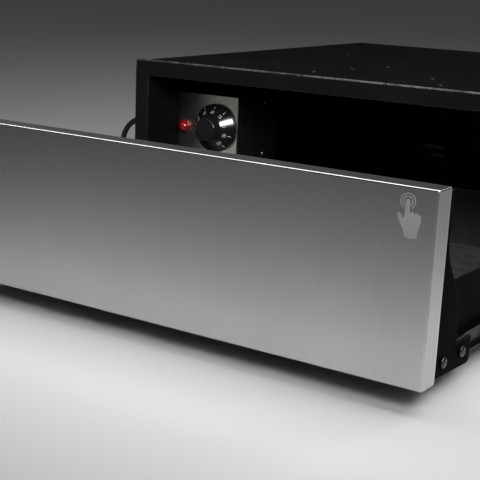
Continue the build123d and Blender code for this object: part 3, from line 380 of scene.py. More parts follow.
looks = {
    # edges lightened by the edge mask: worn paint, and partly a painted highlight along the rounded edges
    "housingCoat": (coated, {
        "colour": (0.0022, 0.0022, 0.0025), "paler": (0.0042, 0.0042, 0.0046), "cloud": 0.09,
        "rough": (0.50, 0.62), "grain": 0.0011, "bump": 0.20, "dust": 0.02, "wearAndHighlight": 2.0,
        "wearAndHighlightWidth": 0.0012, "bareAndHighlight": (0.075, 0.075, 0.078), "shine": 0.05,
    }),
    # the front frame's edge mask paints a highlight: a pale line along the upper front edges, brighter
    # towards the right
    "frameCoat": (coated, {
        "colour": (0.0035, 0.0035, 0.004), "paler": (0.0055, 0.0055, 0.006), "cloud": 0.09,
        "rough": (0.46, 0.58), "grain": 0.0011, "bump": 0.20, "dust": 0.02, "wearAndHighlight": 5.0,
        "wearAndHighlightWidth": 0.0026, "wearAndHighlightLeast": 0.16, "highlightAbove": (0.166, 0.177, 0.04, 1.0),
        "highlightAcross": (-0.25, 0.15, 0.42, 1.0), "bareAndHighlight": (0.34, 0.34, 0.35), "shine": 0.07,
    }),
    "cavityBlack": (coated, {
        "colour": (0.004, 0.004, 0.0045), "paler": (0.007, 0.007, 0.0075), "cloud": 0.12,
        "rough": (0.62, 0.78), "grain": 0.0014, "bump": 0.15, "dust": 0.05, "shine": 0.08,
    }),
    "bracketCoat": (coated, {
        "colour": (0.0018, 0.0018, 0.0022), "paler": (0.0030, 0.0030, 0.0036), "cloud": 0.05,
        "rough": (0.42, 0.54), "grain": 0.0010, "bump": 0.22, "dust": 0.02, "wearAndHighlight": 0.3,
        "shine": 0.005,
    }),
    "trayCoat": (coated, {
        "colour": (0.0020, 0.0019, 0.0018), "paler": (0.0034, 0.0033, 0.0032), "cloud": 0.07,
        "rough": (0.46, 0.58), "grain": 0.0011, "bump": 0.2, "dust": 0.02, "wearAndHighlight": 0.2,
        "shine": 0.01,
        # painted light: the walls' inner sides lighter near the floor
        "paintedWallLight": {
            "middle": (0.046, -0.458, 0.055), "heights": (0.029, 0.078), "falloff": 1.5,
            "size": 0.012, "least": 0.72, "colour": (0.020, 0.020, 0.021),
        },
    }),
    "dialGloss": (coated, {
        "colour": (0.007, 0.007, 0.008), "paler": (0.011, 0.011, 0.012), "cloud": 0.02,
        "rough": (0.12, 0.20), "grain": 0.0006, "bump": 0.05, "dust": 0.03, "speck": 0.002, "lacquer": 0.3,
    }),
    "dialMatt": (coated, {
        "colour": (0.006, 0.006, 0.0075), "paler": (0.009, 0.009, 0.011), "cloud": 0.02,
        "rough": (0.5, 0.6), "grain": 0.0006, "bump": 0.12, "dust": 0.02, "speck": 0.002, "shine": 0.08,
    }),
    "lampBlack": (coated, {
        "colour": (0.02, 0.02, 0.02), "paler": (0.035, 0.035, 0.036), "cloud": 0.01, "rough": (0.4, 0.5),
        "grain": 0.0006, "bump": 0.15,
    }),
    "terminalNylon": (coated, {
        "colour": (0.62, 0.60, 0.54), "paler": (0.72, 0.70, 0.65), "cloud": 0.012, "rough": (0.42, 0.55),
        "grain": 0.0007, "bump": 0.15, "dust": 0.08,
    }),
    "motorPaint": (coated, {
        "colour": (0.10, 0.105, 0.115), "paler": (0.16, 0.165, 0.175), "cloud": 0.02,
        "rough": (0.35, 0.5), "grain": 0.0009, "bump": 0.18, "dust": 0.15, "wearAndHighlight": 0.4,
    }),
    "glandNylon": (coated, {
        "colour": (0.022, 0.022, 0.023), "paler": (0.036, 0.036, 0.037), "cloud": 0.008,
        "rough": (0.38, 0.5), "grain": 0.0007, "bump": 0.2, "dust": 0.06,
    }),
    "leadSheath": (coated, {
        "colour": (0.007, 0.007, 0.0075), "paler": (0.013, 0.013, 0.0135), "cloud": 0.02,
        "rough": (0.42, 0.56), "grain": 0.0008, "bump": 0.22, "dust": 0.05, "shine": 0.2,
    }),
    "plugMoulding": (coated, {
        "colour": (0.018, 0.018, 0.019), "paler": (0.030, 0.030, 0.031), "cloud": 0.01,
        "rough": (0.36, 0.48), "grain": 0.0007, "bump": 0.3, "dust": 0.1, "wearAndHighlight": 0.2,
        "bareAndHighlight": (0.06, 0.06, 0.06),
    }),
    "latchMoulding": (coated, {
        "colour": (0.05, 0.05, 0.055), "paler": (0.075, 0.075, 0.08), "cloud": 0.01, "rough": (0.4, 0.52),
        "grain": 0.0007, "bump": 0.2,
    }),
    "loomSleeve": (coated, {
        "colour": (0.02, 0.02, 0.021), "paler": (0.045, 0.045, 0.046), "cloud": 0.006,
        "rough": (0.5, 0.65), "grain": 0.0009, "bump": 0.5,
    }),
    "galvanised": (metal, {
        "colour": (0.46, 0.47, 0.48), "darker": (0.30, 0.31, 0.325), "cloud": 0.012,
        "lines": (60.0, 60.0, 60.0), "lineShare": 0.35, "rough": (0.34, 0.5), "bump": 0.05,
    }),
    # the edge mask lightens the panel's rounded edges almost to white: a painted highlight along the top
    # and side folds
    "frontSteel": (metal, {
        "colour": (0.55, 0.55, 0.545), "darker": (0.45, 0.45, 0.45), "cloud": 0.16, "cloudShare": 0.6,
        "lines": (1300.0, 1300.0, 24.0), "lineShare": 0.4, "rough": (0.19, 0.24), "lineRough": 0.05,
        "bump": 0.05, "wearAndHighlight": 3.0, "wearAndHighlightWidth": 0.0026, "wearAndHighlightLeast": 0.3, "bareAndHighlight": (0.86, 0.86, 0.86),
    }),
    "plateSteel": (metal, {
        "colour": (0.52, 0.51, 0.47), "darker": (0.40, 0.39, 0.36), "cloud": 0.03, "cloudShare": 0.5,
        "lines": (900.0, 900.0, 20.0), "lineShare": 0.08, "rough": (0.25, 0.31), "lineRough": 0.02,
        "bump": 0.01,
    }),
    "railSteel": (metal, {
        "colour": (0.018, 0.018, 0.019), "darker": (0.010, 0.010, 0.011), "cloud": 0.03,
        "lines": (900.0, 20.0, 900.0), "lineShare": 0.5, "rough": (0.30, 0.42), "bump": 0.06, "wearAndHighlight": 0.5,
        "bareAndHighlight": (0.14, 0.14, 0.145),
    }),
    "cageSteel": (metal, {
        "colour": (0.52, 0.52, 0.53), "darker": (0.38, 0.38, 0.40), "cloud": 0.01,
        "lines": (700.0, 40.0, 700.0), "lineShare": 0.3, "rough": (0.22, 0.32), "bump": 0.04,
    }),
    "blackenedScrew": (metal, {
        **screwGrain, "colour": (0.10, 0.10, 0.105), "darker": (0.04, 0.04, 0.042), "rough": (0.10, 0.18),
        "wearAndHighlight": 0.7, "bareAndHighlight": (0.5, 0.5, 0.5),
    }),
    "brightScrew": (metal, {
        **screwGrain, "colour": (0.62, 0.62, 0.63), "darker": (0.36, 0.36, 0.37), "rough": (0.18, 0.3),
        "wearAndHighlight": 0.6, "bareAndHighlight": (0.8, 0.8, 0.8),
    }),
    "darkScrew": (metal, {
        **screwGrain, "colour": (0.09, 0.09, 0.095), "darker": (0.05, 0.05, 0.052), "rough": (0.30, 0.42),
        "wearAndHighlight": 0.6, "bareAndHighlight": (0.4, 0.4, 0.4),
    }),
    "thermostatCase": (metal, {
        "colour": (0.50, 0.50, 0.49), "darker": (0.38, 0.38, 0.37), "cloud": 0.01,
        "lines": (800.0, 60.0, 800.0), "lineShare": 0.4, "rough": (0.3, 0.42), "bump": 0.06,
    }),
    "fanAluminium": (metal, {
        "colour": (0.58, 0.585, 0.59), "darker": (0.44, 0.445, 0.45), "cloud": 0.015,
        "lines": (300.0, 300.0, 300.0), "lineShare": 0.3, "rough": (0.3, 0.45), "bump": 0.05,
    }),
    "heatedTube": (metal, {
        "colour": (0.30, 0.26, 0.22), "darker": (0.15, 0.13, 0.15), "cloud": 0.02,
        "lines": (200.0, 200.0, 200.0), "lineShare": 0.4, "rough": (0.34, 0.5), "bump": 0.08,
    }),
    "copperTube": (metal, {
        "colour": (0.62, 0.33, 0.20), "darker": (0.36, 0.18, 0.11), "cloud": 0.012,
        "lines": (300.0, 300.0, 300.0), "lineShare": 0.4, "rough": (0.26, 0.4), "bump": 0.05,
    }),
    "platedPin": (metal, {
        "colour": (0.66, 0.62, 0.50), "darker": (0.50, 0.46, 0.36), "cloud": 0.006,
        "lines": (60.0, 900.0, 900.0), "lineShare": 0.4, "rough": (0.2, 0.3), "bump": 0.04,
    }),
}
finish = {name: make(name, look) for name, (make, look) in looks.items()}
print("materials made:", len(finish))


lampGlass = {
    "fixed": {"IOR": 1.5, "Coat Weight": 0.6, "Coat Roughness": 0.08},
    "facets": 900.0,    # per metre
    "facetEdge": 0.25, "edgeShare": 0.35, "cloud": 0.006,
    "red": (0.24, 0.004, 0.003), "paler": (0.36, 0.010, 0.005),
    "edge": (0.06, 0.001, 0.001), "low": (0.030, 0.0005, 0.0005),
    "heights": (0.0905, 0.0985, 0.85, 0.0),    # painted shade: the dome is darker low down
    "rough": (0.10, 0.16), "roughCloud": 0.003, "bump": 0.08, "bumpHeight": 0.0002,
}


def lampMaterial(look):
    # a moulded red dome with fine ribs inside, lit by what falls on it, with painted shade low down
    material, tree, surface = newMaterial("lampRed", look["fixed"])
    facets = add(tree, "TexVoronoi", {"Vector": here(tree), "Scale": look["facets"]},
                 feature="DISTANCE_TO_EDGE")
    facet = ranged(tree, facets.outputs["Distance"], 0.0, look["facetEdge"], 0.0, 1.0)
    tone = blended(tree, effect(tree, softClouds, Size=look["cloud"]), look["red"], look["paler"])
    height = add(tree, "SeparateXYZ", {0: here(tree)}).outputs[2]
    # painted shade: darker towards the dome's foot
    tone = blended(tree, ranged(tree, height, *look["heights"]), tone, look["low"])
    edge = ranged(tree, facet, 0.0, 1.0, look["edgeShare"], 0.0)
    tone = blended(tree, edge, tone, look["edge"])
    coloured(tree, surface, tone, clouded(tree, look["roughCloud"], look["rough"]))
    bumped(tree, surface, facet, look)
    return material


finish["lampRed"] = lampMaterial(lampGlass)


matLook = {
    "fixed": {"Specular IOR Level": 0.3},
    "grains": 420.0,    # per metre
    "grainEdge": (0.1, 0.65), "mottle": 0.009, "wide": 0.06, "wideMost": 0.6,
    "colour": (0.009, 0.009, 0.0095), "paler": (0.030, 0.030, 0.031), "worn": (0.034, 0.034, 0.035),
    "rough": (0.75, 0.5), "bump": 0.5, "bumpHeight": 0.0004,
}


def matMaterial(look):
    # anti-slip mat: small raised grains, mottled grey
    material, tree, surface = newMaterial("matRubber", look["fixed"])
    grains = add(tree, "TexVoronoi", {"Vector": here(tree), "Scale": look["grains"]})
    grain = ranged(tree, grains.outputs["Distance"], *look["grainEdge"], 1.0, 0.0)
    wide = clouded(tree, look["wide"], (0.0, look["wideMost"]))
    tone = blended(tree, effect(tree, softClouds, Size=look["mottle"]), look["colour"], look["paler"])
    tone = blended(tree, sums(tree, "MULTIPLY", wide, grain), tone, look["worn"])
    coloured(tree, surface, tone, ranged(tree, grain, 0.0, 1.0, *look["rough"]))
    bumped(tree, surface, grain, look)
    return material


woolLook = {
    "fixed": {"Sheen Weight": 0.2},
    "fibres": 900.0,    # per metre
    "fibreSpan": (0.3, 0.7), "colour": (0.42, 0.35, 0.18), "paler": (0.68, 0.60, 0.38),
    "clump": (0.50, 0.42, 0.24), "clumpSize": 0.02, "clumpShare": 0.5,
    "rough": (0.85, 0.98), "roughCloud": 0.01, "bump": 0.8, "bumpHeight": 0.001,
}


def woolMaterial(look):
    material, tree, surface = newMaterial("mineralWool", look["fixed"])
    fibres = add(tree, "TexNoise", {"Vector": here(tree), "Scale": look["fibres"], "Detail": 8.0,
                                    "Roughness": 0.8, "Distortion": 3.0})
    fibre = ranged(tree, fibres.outputs[0], *look["fibreSpan"], 0.0, 1.0)
    clumps = sums(tree, "MULTIPLY", effect(tree, softClouds, Size=look["clumpSize"]), look["clumpShare"])
    tone = blended(tree, fibre, look["colour"], look["paler"])
    tone = blended(tree, clumps, tone, look["clump"])
    coloured(tree, surface, tone, clouded(tree, look["roughCloud"], look["rough"]))
    bumped(tree, surface, fibre, look)
    return material


printLook = {
    "fixed": {}, "colour": (0.42, 0.43, 0.45), "other": (0.56, 0.57, 0.59), "cloud": 0.002,
    "rough": (0.35, 0.5), "roughCloud": 0.003,
}


def cloudyMaterial(name, look):
    material, tree, surface = newMaterial(name, look["fixed"])
    tone = blended(tree, effect(tree, softClouds, Size=look["cloud"]), look["colour"], look["other"])
    coloured(tree, surface, tone, clouded(tree, look["roughCloud"], look["rough"]))
    return material


etchedLook = {
    "lines": (1300.0, 1300.0, 24.0), "colour": (0.54, 0.525, 0.51), "darker": (0.46, 0.45, 0.435),
    "rough": (0.55, 0.65), "roughCloud": 0.004,
}


def etchedMaterial(look):
    # the mark is etched: paler and duller than the steel round it
    material, tree, surface = newMaterial("etchedSteel", {"Metallic": 1.0})
    tone = blended(tree, effect(tree, drawnLines, Stretch=look["lines"]), look["colour"], look["darker"])
    coloured(tree, surface, tone, clouded(tree, look["roughCloud"], look["rough"]))
    return material


finish["matRubber"] = matMaterial(matLook)
finish["mineralWool"] = woolMaterial(woolLook)
finish["dialFigures"] = cloudyMaterial("dialFigures", printLook)
finish["etchedSteel"] = etchedMaterial(etchedLook)


def bothSides(*pieces):
    return [f"{piece}_{side}" for piece in pieces for side in ("left", "right")]


wearers = {
    "housingCoat": [*bothSides("side_panel"), "top_cover"],
    "frameCoat": ["front_frame"],
    "cavityBlack": ["ceiling_liner", "rear_baffle", "control_box", "left_rail_support"],
    "galvanised": ["base_panel", "rear_panel", "terminal_shelf", "plenum_cover"],
    "frontSteel": ["front_panel"],
    "plateSteel": ["control_plate"],
    "bracketCoat": ["panel_liner", *bothSides("bracket"), "latch_striker"],
    "trayCoat": ["tray"],
    "railSteel": bothSides("fixed_rail", "mid_rail", "drawer_rail"),
    "cageSteel": bothSides("outer_cage", "inner_cage"),
    "brightScrew": ["bracket_spacers", "thermostat_shaft", "fan_shaft"],
    "dialGloss": ["thermostat_dial"],
    "lampRed": ["lamp_lens"],
    "lampBlack": ["lamp_body", "thermal_cutout"],
    "thermostatCase": ["thermostat_body"],
    "terminalNylon": ["terminal_block", "heater_terminal"],
    "glandNylon": ["cable_gland", "gland_nut"],
    "fanAluminium": ["fan_wheel"],
    "motorPaint": ["fan_motor"],
    "heatedTube": ["heater_element"],
    "copperTube": ["sensor_bulb"],
    "loomSleeve": ["wiring_loom"],
    "latchMoulding": ["latch_body", "latch_plunger"],
    "plugMoulding": ["power_plug"],
    "platedPin": ["plug_pins"],
}


def dress(piece, name):
    piece.data.materials.clear()
    piece.data.materials.append(finish[name])


for name, worn in wearers.items():
    for node in worn:
        dress(nodes[node], name)
dress(lead, "leadSheath")
print("CAD nodes dressed")


def fromMesh(name, work, body, look, smooth=35.0):
    mesh = bpy.data.meshes.new(name)
    bmesh.ops.recalc_face_normals(work, faces=work.faces)
    work.to_mesh(mesh)
    work.free()
    mesh.polygons.foreach_set("use_smooth", [True] * len(mesh.polygons))
    mesh.set_sharp_from_angle(angle=math.radians(smooth))
    piece = bpy.data.objects.new(name, mesh)
    scene.collection.objects.link(piece)
    dress(piece, look)
    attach(piece, body)
    return piece


def turned(work, profile, steps, matrix):
    # a closed turned form from (radius, height) pairs, laid out by matrix
    rings = []
    for radius, height in profile:
        if radius < 1e-7:
            rings.append([work.verts.new(matrix @ Vector((0, 0, height)))])
            continue
        ring = []
        for i in range(steps):
            angle = 2 * math.pi * i / steps
            place = Vector((radius * math.cos(angle), radius * math.sin(angle), height))
            ring.append(work.verts.new(matrix @ place))
        rings.append(ring)
    for lower, upper in zip(rings, rings[1:]):
        for i in range(steps):
            j = (i + 1) % steps
            corners = ([lower[0]] if len(lower) == 1 else [lower[i], lower[j]])
            corners += ([upper[0]] if len(upper) == 1 else [upper[j], upper[i]])
            work.faces.new(corners)


def facing(place, axis):
    # turns +Z to axis and moves to place
    return Matrix.Translation(place) @ Vector(axis).to_track_quat("Z", "Y").to_matrix().to_4x4()


strainRelief = {
    "place": (-0.288, -0.165, 0.097), "length": 0.030, "baseRadius": 0.0070, "tipRadius": 0.0047,
    "collar": 0.005, "edge": 0.0004, "tipEdge": 0.0005, "tipLength": 0.0015,
    "ribs": 6, "ribStep": 0.0003, "ribDepth": 0.0008, "steps": 48,
    "ribForm": ((0.08, 1), (0.42, 1), (0.50, 0), (0.96, 0)),    # share of the pitch, 1 in the groove
}


def makeStrainRelief(sizes):
    work = bmesh.new()
    base, tip, edge = sizes["baseRadius"], sizes["tipRadius"], sizes["edge"]
    length, collar = sizes["length"], sizes["collar"]
    profile = [(0.0, 0.0), (base - edge, 0.0), (base, edge), (base, collar - edge),
               (base - sizes["ribStep"], collar)]
    pitch = (length - collar - sizes["tipLength"]) / sizes["ribs"]
    for i in range(sizes["ribs"]):
        for share, groove in sizes["ribForm"]:
            height = collar + i * pitch + share * pitch
            radius = base + (tip - base) * (height - collar) / (length - collar)
            profile.append((radius - sizes["ribStep"] - groove * sizes["ribDepth"], height))
    profile += [(tip, length - edge), (tip - sizes["tipEdge"], length), (0.0, length)]
    turned(work, profile, sizes["steps"], facing(sizes["place"], (-1, 0, 0)))
    return fromMesh("strainSleeve", work, "housing", "glandNylon")


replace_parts(makeStrainRelief(strainRelief), "strain_relief")

# heads stand at their places and look along axis; the shank goes the other way
panScrews = {
    "bracketScrewHeads": {
        "node": "bracket_screws", "body": "drawer", "look": "blackenedScrew", "slot": "screw_steel",
        "heads": [((0.274, -0.6278, 0.0305), (1, 0, 0)), ((0.274, -0.5956, 0.0305), (1, 0, 0)),
                  ((-0.1815, -0.6278, 0.0305), (-1, 0, 0)), ((-0.1815, -0.5956, 0.0305), (-1, 0, 0))],
        "radius": 0.0042, "height": 0.0026, "dome": 0.0016, "recess": 0.0024, "depth": 0.0014,
        "shank": 0.0020, "shankLength": 0.0095,
    },
    "topCoverScrewHeads": {
        "node": "top_cover_screws", "body": "housing", "look": "darkScrew", "slot": "black_screw",
        "heads": [((x, y, 0.180), (0, 0, 1)) for x, y in
                  ((-0.078, -0.223), (-0.066, -0.155), (-0.049, -0.100), (0.046, -0.181), (0.080, -0.236),
                   (-0.172, 0.028))],
        "radius": 0.0030, "height": 0.0012, "dome": 0.0008, "recess": 0.0018, "depth": 0.0008,
        "shank": 0.0014, "shankLength": 0.0,
    },
    "controlBoxScrewHeads": {
        "node": "control_box_screws", "body": "housing", "look": "brightScrew", "slot": "screw_steel",
        "heads": [((-0.1927, -0.1404, 0.1285), (1, 0, 0)), ((-0.1927, -0.1404, 0.0645), (1, 0, 0))],
        "radius": 0.0030, "height": 0.0016, "dome": 0.0011, "recess": 0.0019, "depth": 0.0009,
        "shank": 0.0014, "shankLength": 0.0,
    },
}


headForm = {
    "seat": (0.0001, 0.0002), "domeSteps": 8, "steps": 40, "seed": 7,
    "crown": 0.35,    # share of the radius that the flat top takes
    "shankTip": (0.8, 0.0006),    # share of the shank's radius, and length
    "crossLow": (0.45, 0.11),    # reach and half width, as shares of the recess
    "crossHigh": (1.25, 0.22),
    "crossTop": 1.6,    # share of the head's height
}


def crossCutter(sizes, form):
    # two tapered bars crossed, to sink the recess
    cutter = bmesh.new()
    recess, low, top = sizes["recess"], sizes["height"] - sizes["depth"], sizes["height"] * form["crossTop"]
    for quarter in (0, 1):
        turn = Matrix.Rotation(math.pi / 2 * quarter, 4, "Z")
        corners = []
        for height, (reach, half) in ((low, form["crossLow"]), (top, form["crossHigh"])):
            for x, y in ((-1, -1), (1, -1), (1, 1), (-1, 1)):
                place = turn @ Vector((x * reach * recess, y * half * recess, height))
                corners.append(cutter.verts.new(place))
        for face in ((3, 2, 1, 0), (4, 5, 6, 7), (0, 1, 5, 4), (1, 2, 6, 5), (2, 3, 7, 6), (3, 0, 4, 7)):
            cutter.faces.new([corners[i] for i in face])
    mesh = bpy.data.meshes.new("crossCutter")
    cutter.to_mesh(mesh)
    cutter.free()
    return bpy.data.objects.new("crossCutter", mesh)


def screwProfile(sizes, form):
    radius, height, dome, shank = sizes["radius"], sizes["height"], sizes["dome"], sizes["shank"]
    bottom = -sizes["shankLength"]
    inset, lift = form["seat"]
    crown = form["crown"]
    profile = [(0.0, bottom)]
    if bottom:
        share, tip = form["shankTip"]
        profile += [(shank * share, bottom), (shank, bottom + tip), (shank, 0.0)]
    profile += [(radius - inset, 0.0), (radius, lift), (radius, height - dome)]
    for i in range(1, form["domeSteps"] + 1):
        angle = math.pi / 2 * i / form["domeSteps"]
        across = crown + (1 - crown) * math.cos(angle)
        profile.append((radius * across, height - dome + dome * math.sin(angle)))
    return profile + [(0.0, height)]


def makeScrews(name, sizes, form):
    head = bmesh.new()
    turned(head, screwProfile(sizes, form), form["steps"], Matrix.Identity(4))
    bmesh.ops.recalc_face_normals(head, faces=head.faces)
    mesh = bpy.data.meshes.new("screwBlank")
    head.to_mesh(mesh)
    head.free()
    blank = bpy.data.objects.new("screwBlank", mesh)
    cutter = crossCutter(sizes, form)
    for made in (blank, cutter):
        scene.collection.objects.link(made)
    cut = blank.modifiers.new("recess", "BOOLEAN")
    cut.object, cut.operation, cut.solver = cutter, "DIFFERENCE", "EXACT"
    cut.use_self = True
    bpy.context.view_layer.update()
    shaped = bpy.data.meshes.new_from_object(blank.evaluated_get(bpy.context.evaluated_depsgraph_get()))
    work = bmesh.new()
    chance = random.Random(form["seed"])
    for place, axis in sizes["heads"]:
        before = len(work.verts)
        work.from_mesh(shaped)
        work.verts.ensure_lookup_table()
        turn = facing(place, axis) @ Matrix.Rotation(chance.uniform(0, math.pi), 4, "Z")
        bmesh.ops.transform(work, matrix=turn, verts=work.verts[before:])
    for made in (blank, cutter):
        bpy.data.objects.remove(made)
    piece = fromMesh(name, work, sizes["body"], sizes["look"], smooth=30.0)
    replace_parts(piece, sizes["node"])


for name, sizes in panScrews.items():
    makeScrews(name, sizes, headForm)
print("screws cut")

trayMat = {
    "low": (-0.1708, -0.641, 0.0270), "high": (0.2633, -0.275, 0.0295), "corner": 0.012, "cell": 0.006,
    "wave": 0.00022, "waveRest": 1.5, "fineShare": 0.5, "edgeDrop": 0.0008,
    "broadWave": 38.0,    # per metre
    "fineWave": 120.0,
}


def makeMat(sizes):
    lowX, lowY, lowZ = sizes["low"]
    highX, highY, highZ = sizes["high"]
    work = bmesh.new()
    columns = round((highX - lowX) / sizes["cell"])
    rows = round((highY - lowY) / sizes["cell"])
    corner = sizes["corner"]

    def rounded(x, y):
        # pulls the grid's corners in to the mat's round corners
        middleX = min(max(x, lowX + corner), highX - corner)
        middleY = min(max(y, lowY + corner), highY - corner)
        away = Vector((x - middleX, y - middleY))
        longest = max(abs(away.x), abs(away.y))
        if longest < 1e-9 or away.x == 0 or away.y == 0:
            return x, y
        away = away.normalized() * longest
        return middleX + away.x, middleY + away.y

    sheets = []
    for top in (1, 0):
        grid = []
        for j in range(rows + 1):
            row = []
            for i in range(columns + 1):
                x, y = rounded(lowX + (highX - lowX) * i / columns, lowY + (highY - lowY) * j / rows)
                edge = i in (0, columns) or j in (0, rows)
                height = lowZ
                if top:
                    broad = noise.noise(Vector((x, y, 0)) * sizes["broadWave"])
                    fine = noise.noise(Vector((x, y, 3)) * sizes["fineWave"])
                    swell = sizes["waveRest"] + (broad + sizes["fineShare"] * fine)
                    height = highZ - sizes["wave"] * swell - (sizes["edgeDrop"] if edge else 0.0)
                row.append(work.verts.new((x, y, height)))
            grid.append(row)
        for j in range(rows):
            for i in range(columns):
                face = [grid[j][i], grid[j][i + 1], grid[j + 1][i + 1], grid[j + 1][i]]
                work.faces.new(face if top else face[::-1])
        sheets.append(grid)
    above, below = sheets
    rim = [(0, i) for i in range(columns)] + [(j, columns) for j in range(rows)]
    rim += [(rows, i) for i in range(columns, 0, -1)] + [(j, 0) for j in range(rows, 0, -1)]
    for (j, i), (nextJ, nextI) in zip(rim, rim[1:] + rim[:1]):
        work.faces.new([below[j][i], below[nextJ][nextI], above[nextJ][nextI], above[j][i]])
    return fromMesh("trayMatSheet", work, "drawer", "matRubber", smooth=50.0)


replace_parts(makeMat(trayMat), "tray_mat")

# pads of wool, low and high corners in metres
woolPads = {
    "ceilingWool": {"node": "top_insulation", "body": "housing", "low": (-0.275, -0.258, 0.163),
                    "high": (0.275, 0.136, 0.179), "cell": 0.011, "tuft": 0.0018},
    "panelWool": {"node": "panel_insulation", "body": "drawer", "low": (-0.2753, -0.6633, 0.0217),
                  "high": (0.2753, -0.6475, 0.1563), "cell": 0.009, "tuft": 0.0016},
}
woolTufts = {"perMetre": 45.0, "proud": 0.95, "rounding": 0.6}


def makeWool(name, sizes, tufts):
    low, high = Vector(sizes["low"]), Vector(sizes["high"])
    size = high - low
    work = bmesh.new()
    bmesh.ops.create_cube(work, size=1.0)
    for axis in range(3):
        cuts = max(int(size[axis] / sizes["cell"]), 2)
        along = [edge for edge in work.edges
                 if abs(edge.verts[0].co[axis] - edge.verts[1].co[axis]) > 0.5]
        bmesh.ops.subdivide_edges(work, edges=along, cuts=cuts, use_grid_fill=True)
    inner = Vector([part / 2 - sizes["tuft"] for part in size])
    for vert in work.verts:
        place = vert.co * 2
        outward = Vector([side if abs(side) > 0.999 else 0.0 for side in place])
        tuft = 0.5 + 0.5 * noise.noise(place * size * tufts["perMetre"])
        rounding = tufts["rounding"] * (outward.length_squared - 1)    # edges are softer than faces
        swell = outward * sizes["tuft"] * (tuft * tufts["proud"] - rounding)
        vert.co = (low + high) / 2 + place * inner + swell
    piece = fromMesh(name, work, sizes["body"], "mineralWool", smooth=180.0)
    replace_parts(piece, sizes["node"])


for name, sizes in woolPads.items():
    makeWool(name, sizes, woolTufts)
print("mat and wool laid")

dialFace = {
    "axis": (-0.2224, 0.0990), "rimRadius": 0.0290, "rimFront": -0.2050,
    "coneRadius": 0.0170, "coneFront": -0.2160, "ink": 0.00008,
    "figures": ("0", "30", "40", "50", "60", "70", "80", "90", "100"),
    "firstAngle": -130.0,    # degrees clockwise from the top
    "stepAngle": 33.75,
    "textSize": 1.38,    # times the figure's height
    "figureHeight": 0.0034, "figureRadius": 0.0204,
    "tickRadius": 0.0240, "tickLength": 0.0030, "tickWidth": 0.0008,
}


def onCone(face, across, outward, angle, proud):
    # a point of the dial's cone: across and outward from its middle line at angle
    radius = math.hypot(across, outward)
    turn = math.radians(angle) + math.atan2(across, outward)
    slope = (face["rimRadius"] - radius) / (face["rimRadius"] - face["coneRadius"])
    front = face["rimFront"] + (face["coneFront"] - face["rimFront"]) * slope
    axisX, axisZ = face["axis"]
    return Vector((axisX + radius * math.sin(turn), front - proud, axisZ + radius * math.cos(turn)))


def textMesh(words, size):
    curve = bpy.data.curves.new("figure", "FONT")
    curve.body = words
    curve.size = size
    curve.align_x, curve.align_y = "CENTER", "CENTER"
    curve.resolution_u = 4
    holder = bpy.data.objects.new("figure", curve)
    scene.collection.objects.link(holder)
    bpy.context.view_layer.update()
    mesh = bpy.data.meshes.new_from_object(holder.evaluated_get(bpy.context.evaluated_depsgraph_get()))
    bpy.data.objects.remove(holder)
    return mesh


def raised(work, flat, lift):
    # gives a flat patch thickness: lift maps its x, its y and 0 (back) or 1 (front) to a place
    pairs = {}
    for vert in flat.verts:
        pairs[vert] = [work.verts.new(lift(vert.co.x, vert.co.y, share)) for share in (0, 1)]
    for face in flat.faces:
        work.faces.new([pairs[vert][1] for vert in face.verts])
        work.faces.new([pairs[vert][0] for vert in reversed(face.verts)])
    for edge in flat.edges:
        if len(edge.link_faces) == 1:
            first, second = edge.verts
            work.faces.new([pairs[first][0], pairs[second][0], pairs[second][1], pairs[first][1]])


def makeDialFigures(face):
    work = bmesh.new()
    for i, words in enumerate(face["figures"]):
        angle = face["firstAngle"] + i * face["stepAngle"]
        flat = bmesh.new()
        flat.from_mesh(textMesh(words, face["figureHeight"] * face["textSize"]))
        bmesh.ops.remove_doubles(flat, verts=flat.verts, dist=1e-6)
        raised(work, flat, lambda x, y, share: onCone(face, x, face["figureRadius"] + y, angle,
                                                      (share * 2 - 1) * face["ink"]))
        flat.free()
        half, reach = face["tickWidth"] / 2, face["tickLength"] / 2
        tick = bmesh.new()
        tick.faces.new([tick.verts.new(place) for place in
                        ((-half, -reach, 0), (half, -reach, 0), (half, reach, 0), (-half, reach, 0))])
        raised(work, tick, lambda x, y, share: onCone(face, x, face["tickRadius"] + reach + y, angle,
                                                      (share * 2 - 1) * face["ink"]))
        tick.free()
    return fromMesh("dialFigures", work, "dial", "dialFigures", smooth=40.0)


makeDialFigures(dialFace)

dialCap = {
    "radius": 0.0134, "front": -0.2254, "back": -0.2246, "edge": 0.0005, "edgeSteps": 4,
    "dish": (0.0001, 0.00012), "steps": 72,
    "dishRadius": 0.55,    # share of the cap's radius
}


def makeDialCap(cap, face):
    # the matt disc let into the hub's front
    work = bmesh.new()
    axisX, axisZ = face["axis"]
    thick = cap["back"] - cap["front"]
    radius, edge = cap["radius"], cap["edge"]
    profile = [(0.0, 0.0), (radius, 0.0), (radius, thick - edge)]
    for i in range(1, cap["edgeSteps"] + 1):
        angle = math.pi / 2 * i / cap["edgeSteps"]
        profile.append((radius - edge * (1 - math.cos(angle)), thick - edge * (1 - math.sin(angle))))
    outerDish, innerDish = cap["dish"]
    profile += [(radius * cap["dishRadius"], thick - outerDish), (0.0, thick - innerDish)]
    turned(work, profile, cap["steps"], facing((axisX, cap["back"], axisZ), (0, -1, 0)))
    return fromMesh("dialCap", work, "dial", "dialMatt", smooth=25.0)


makeDialCap(dialCap, dialFace)

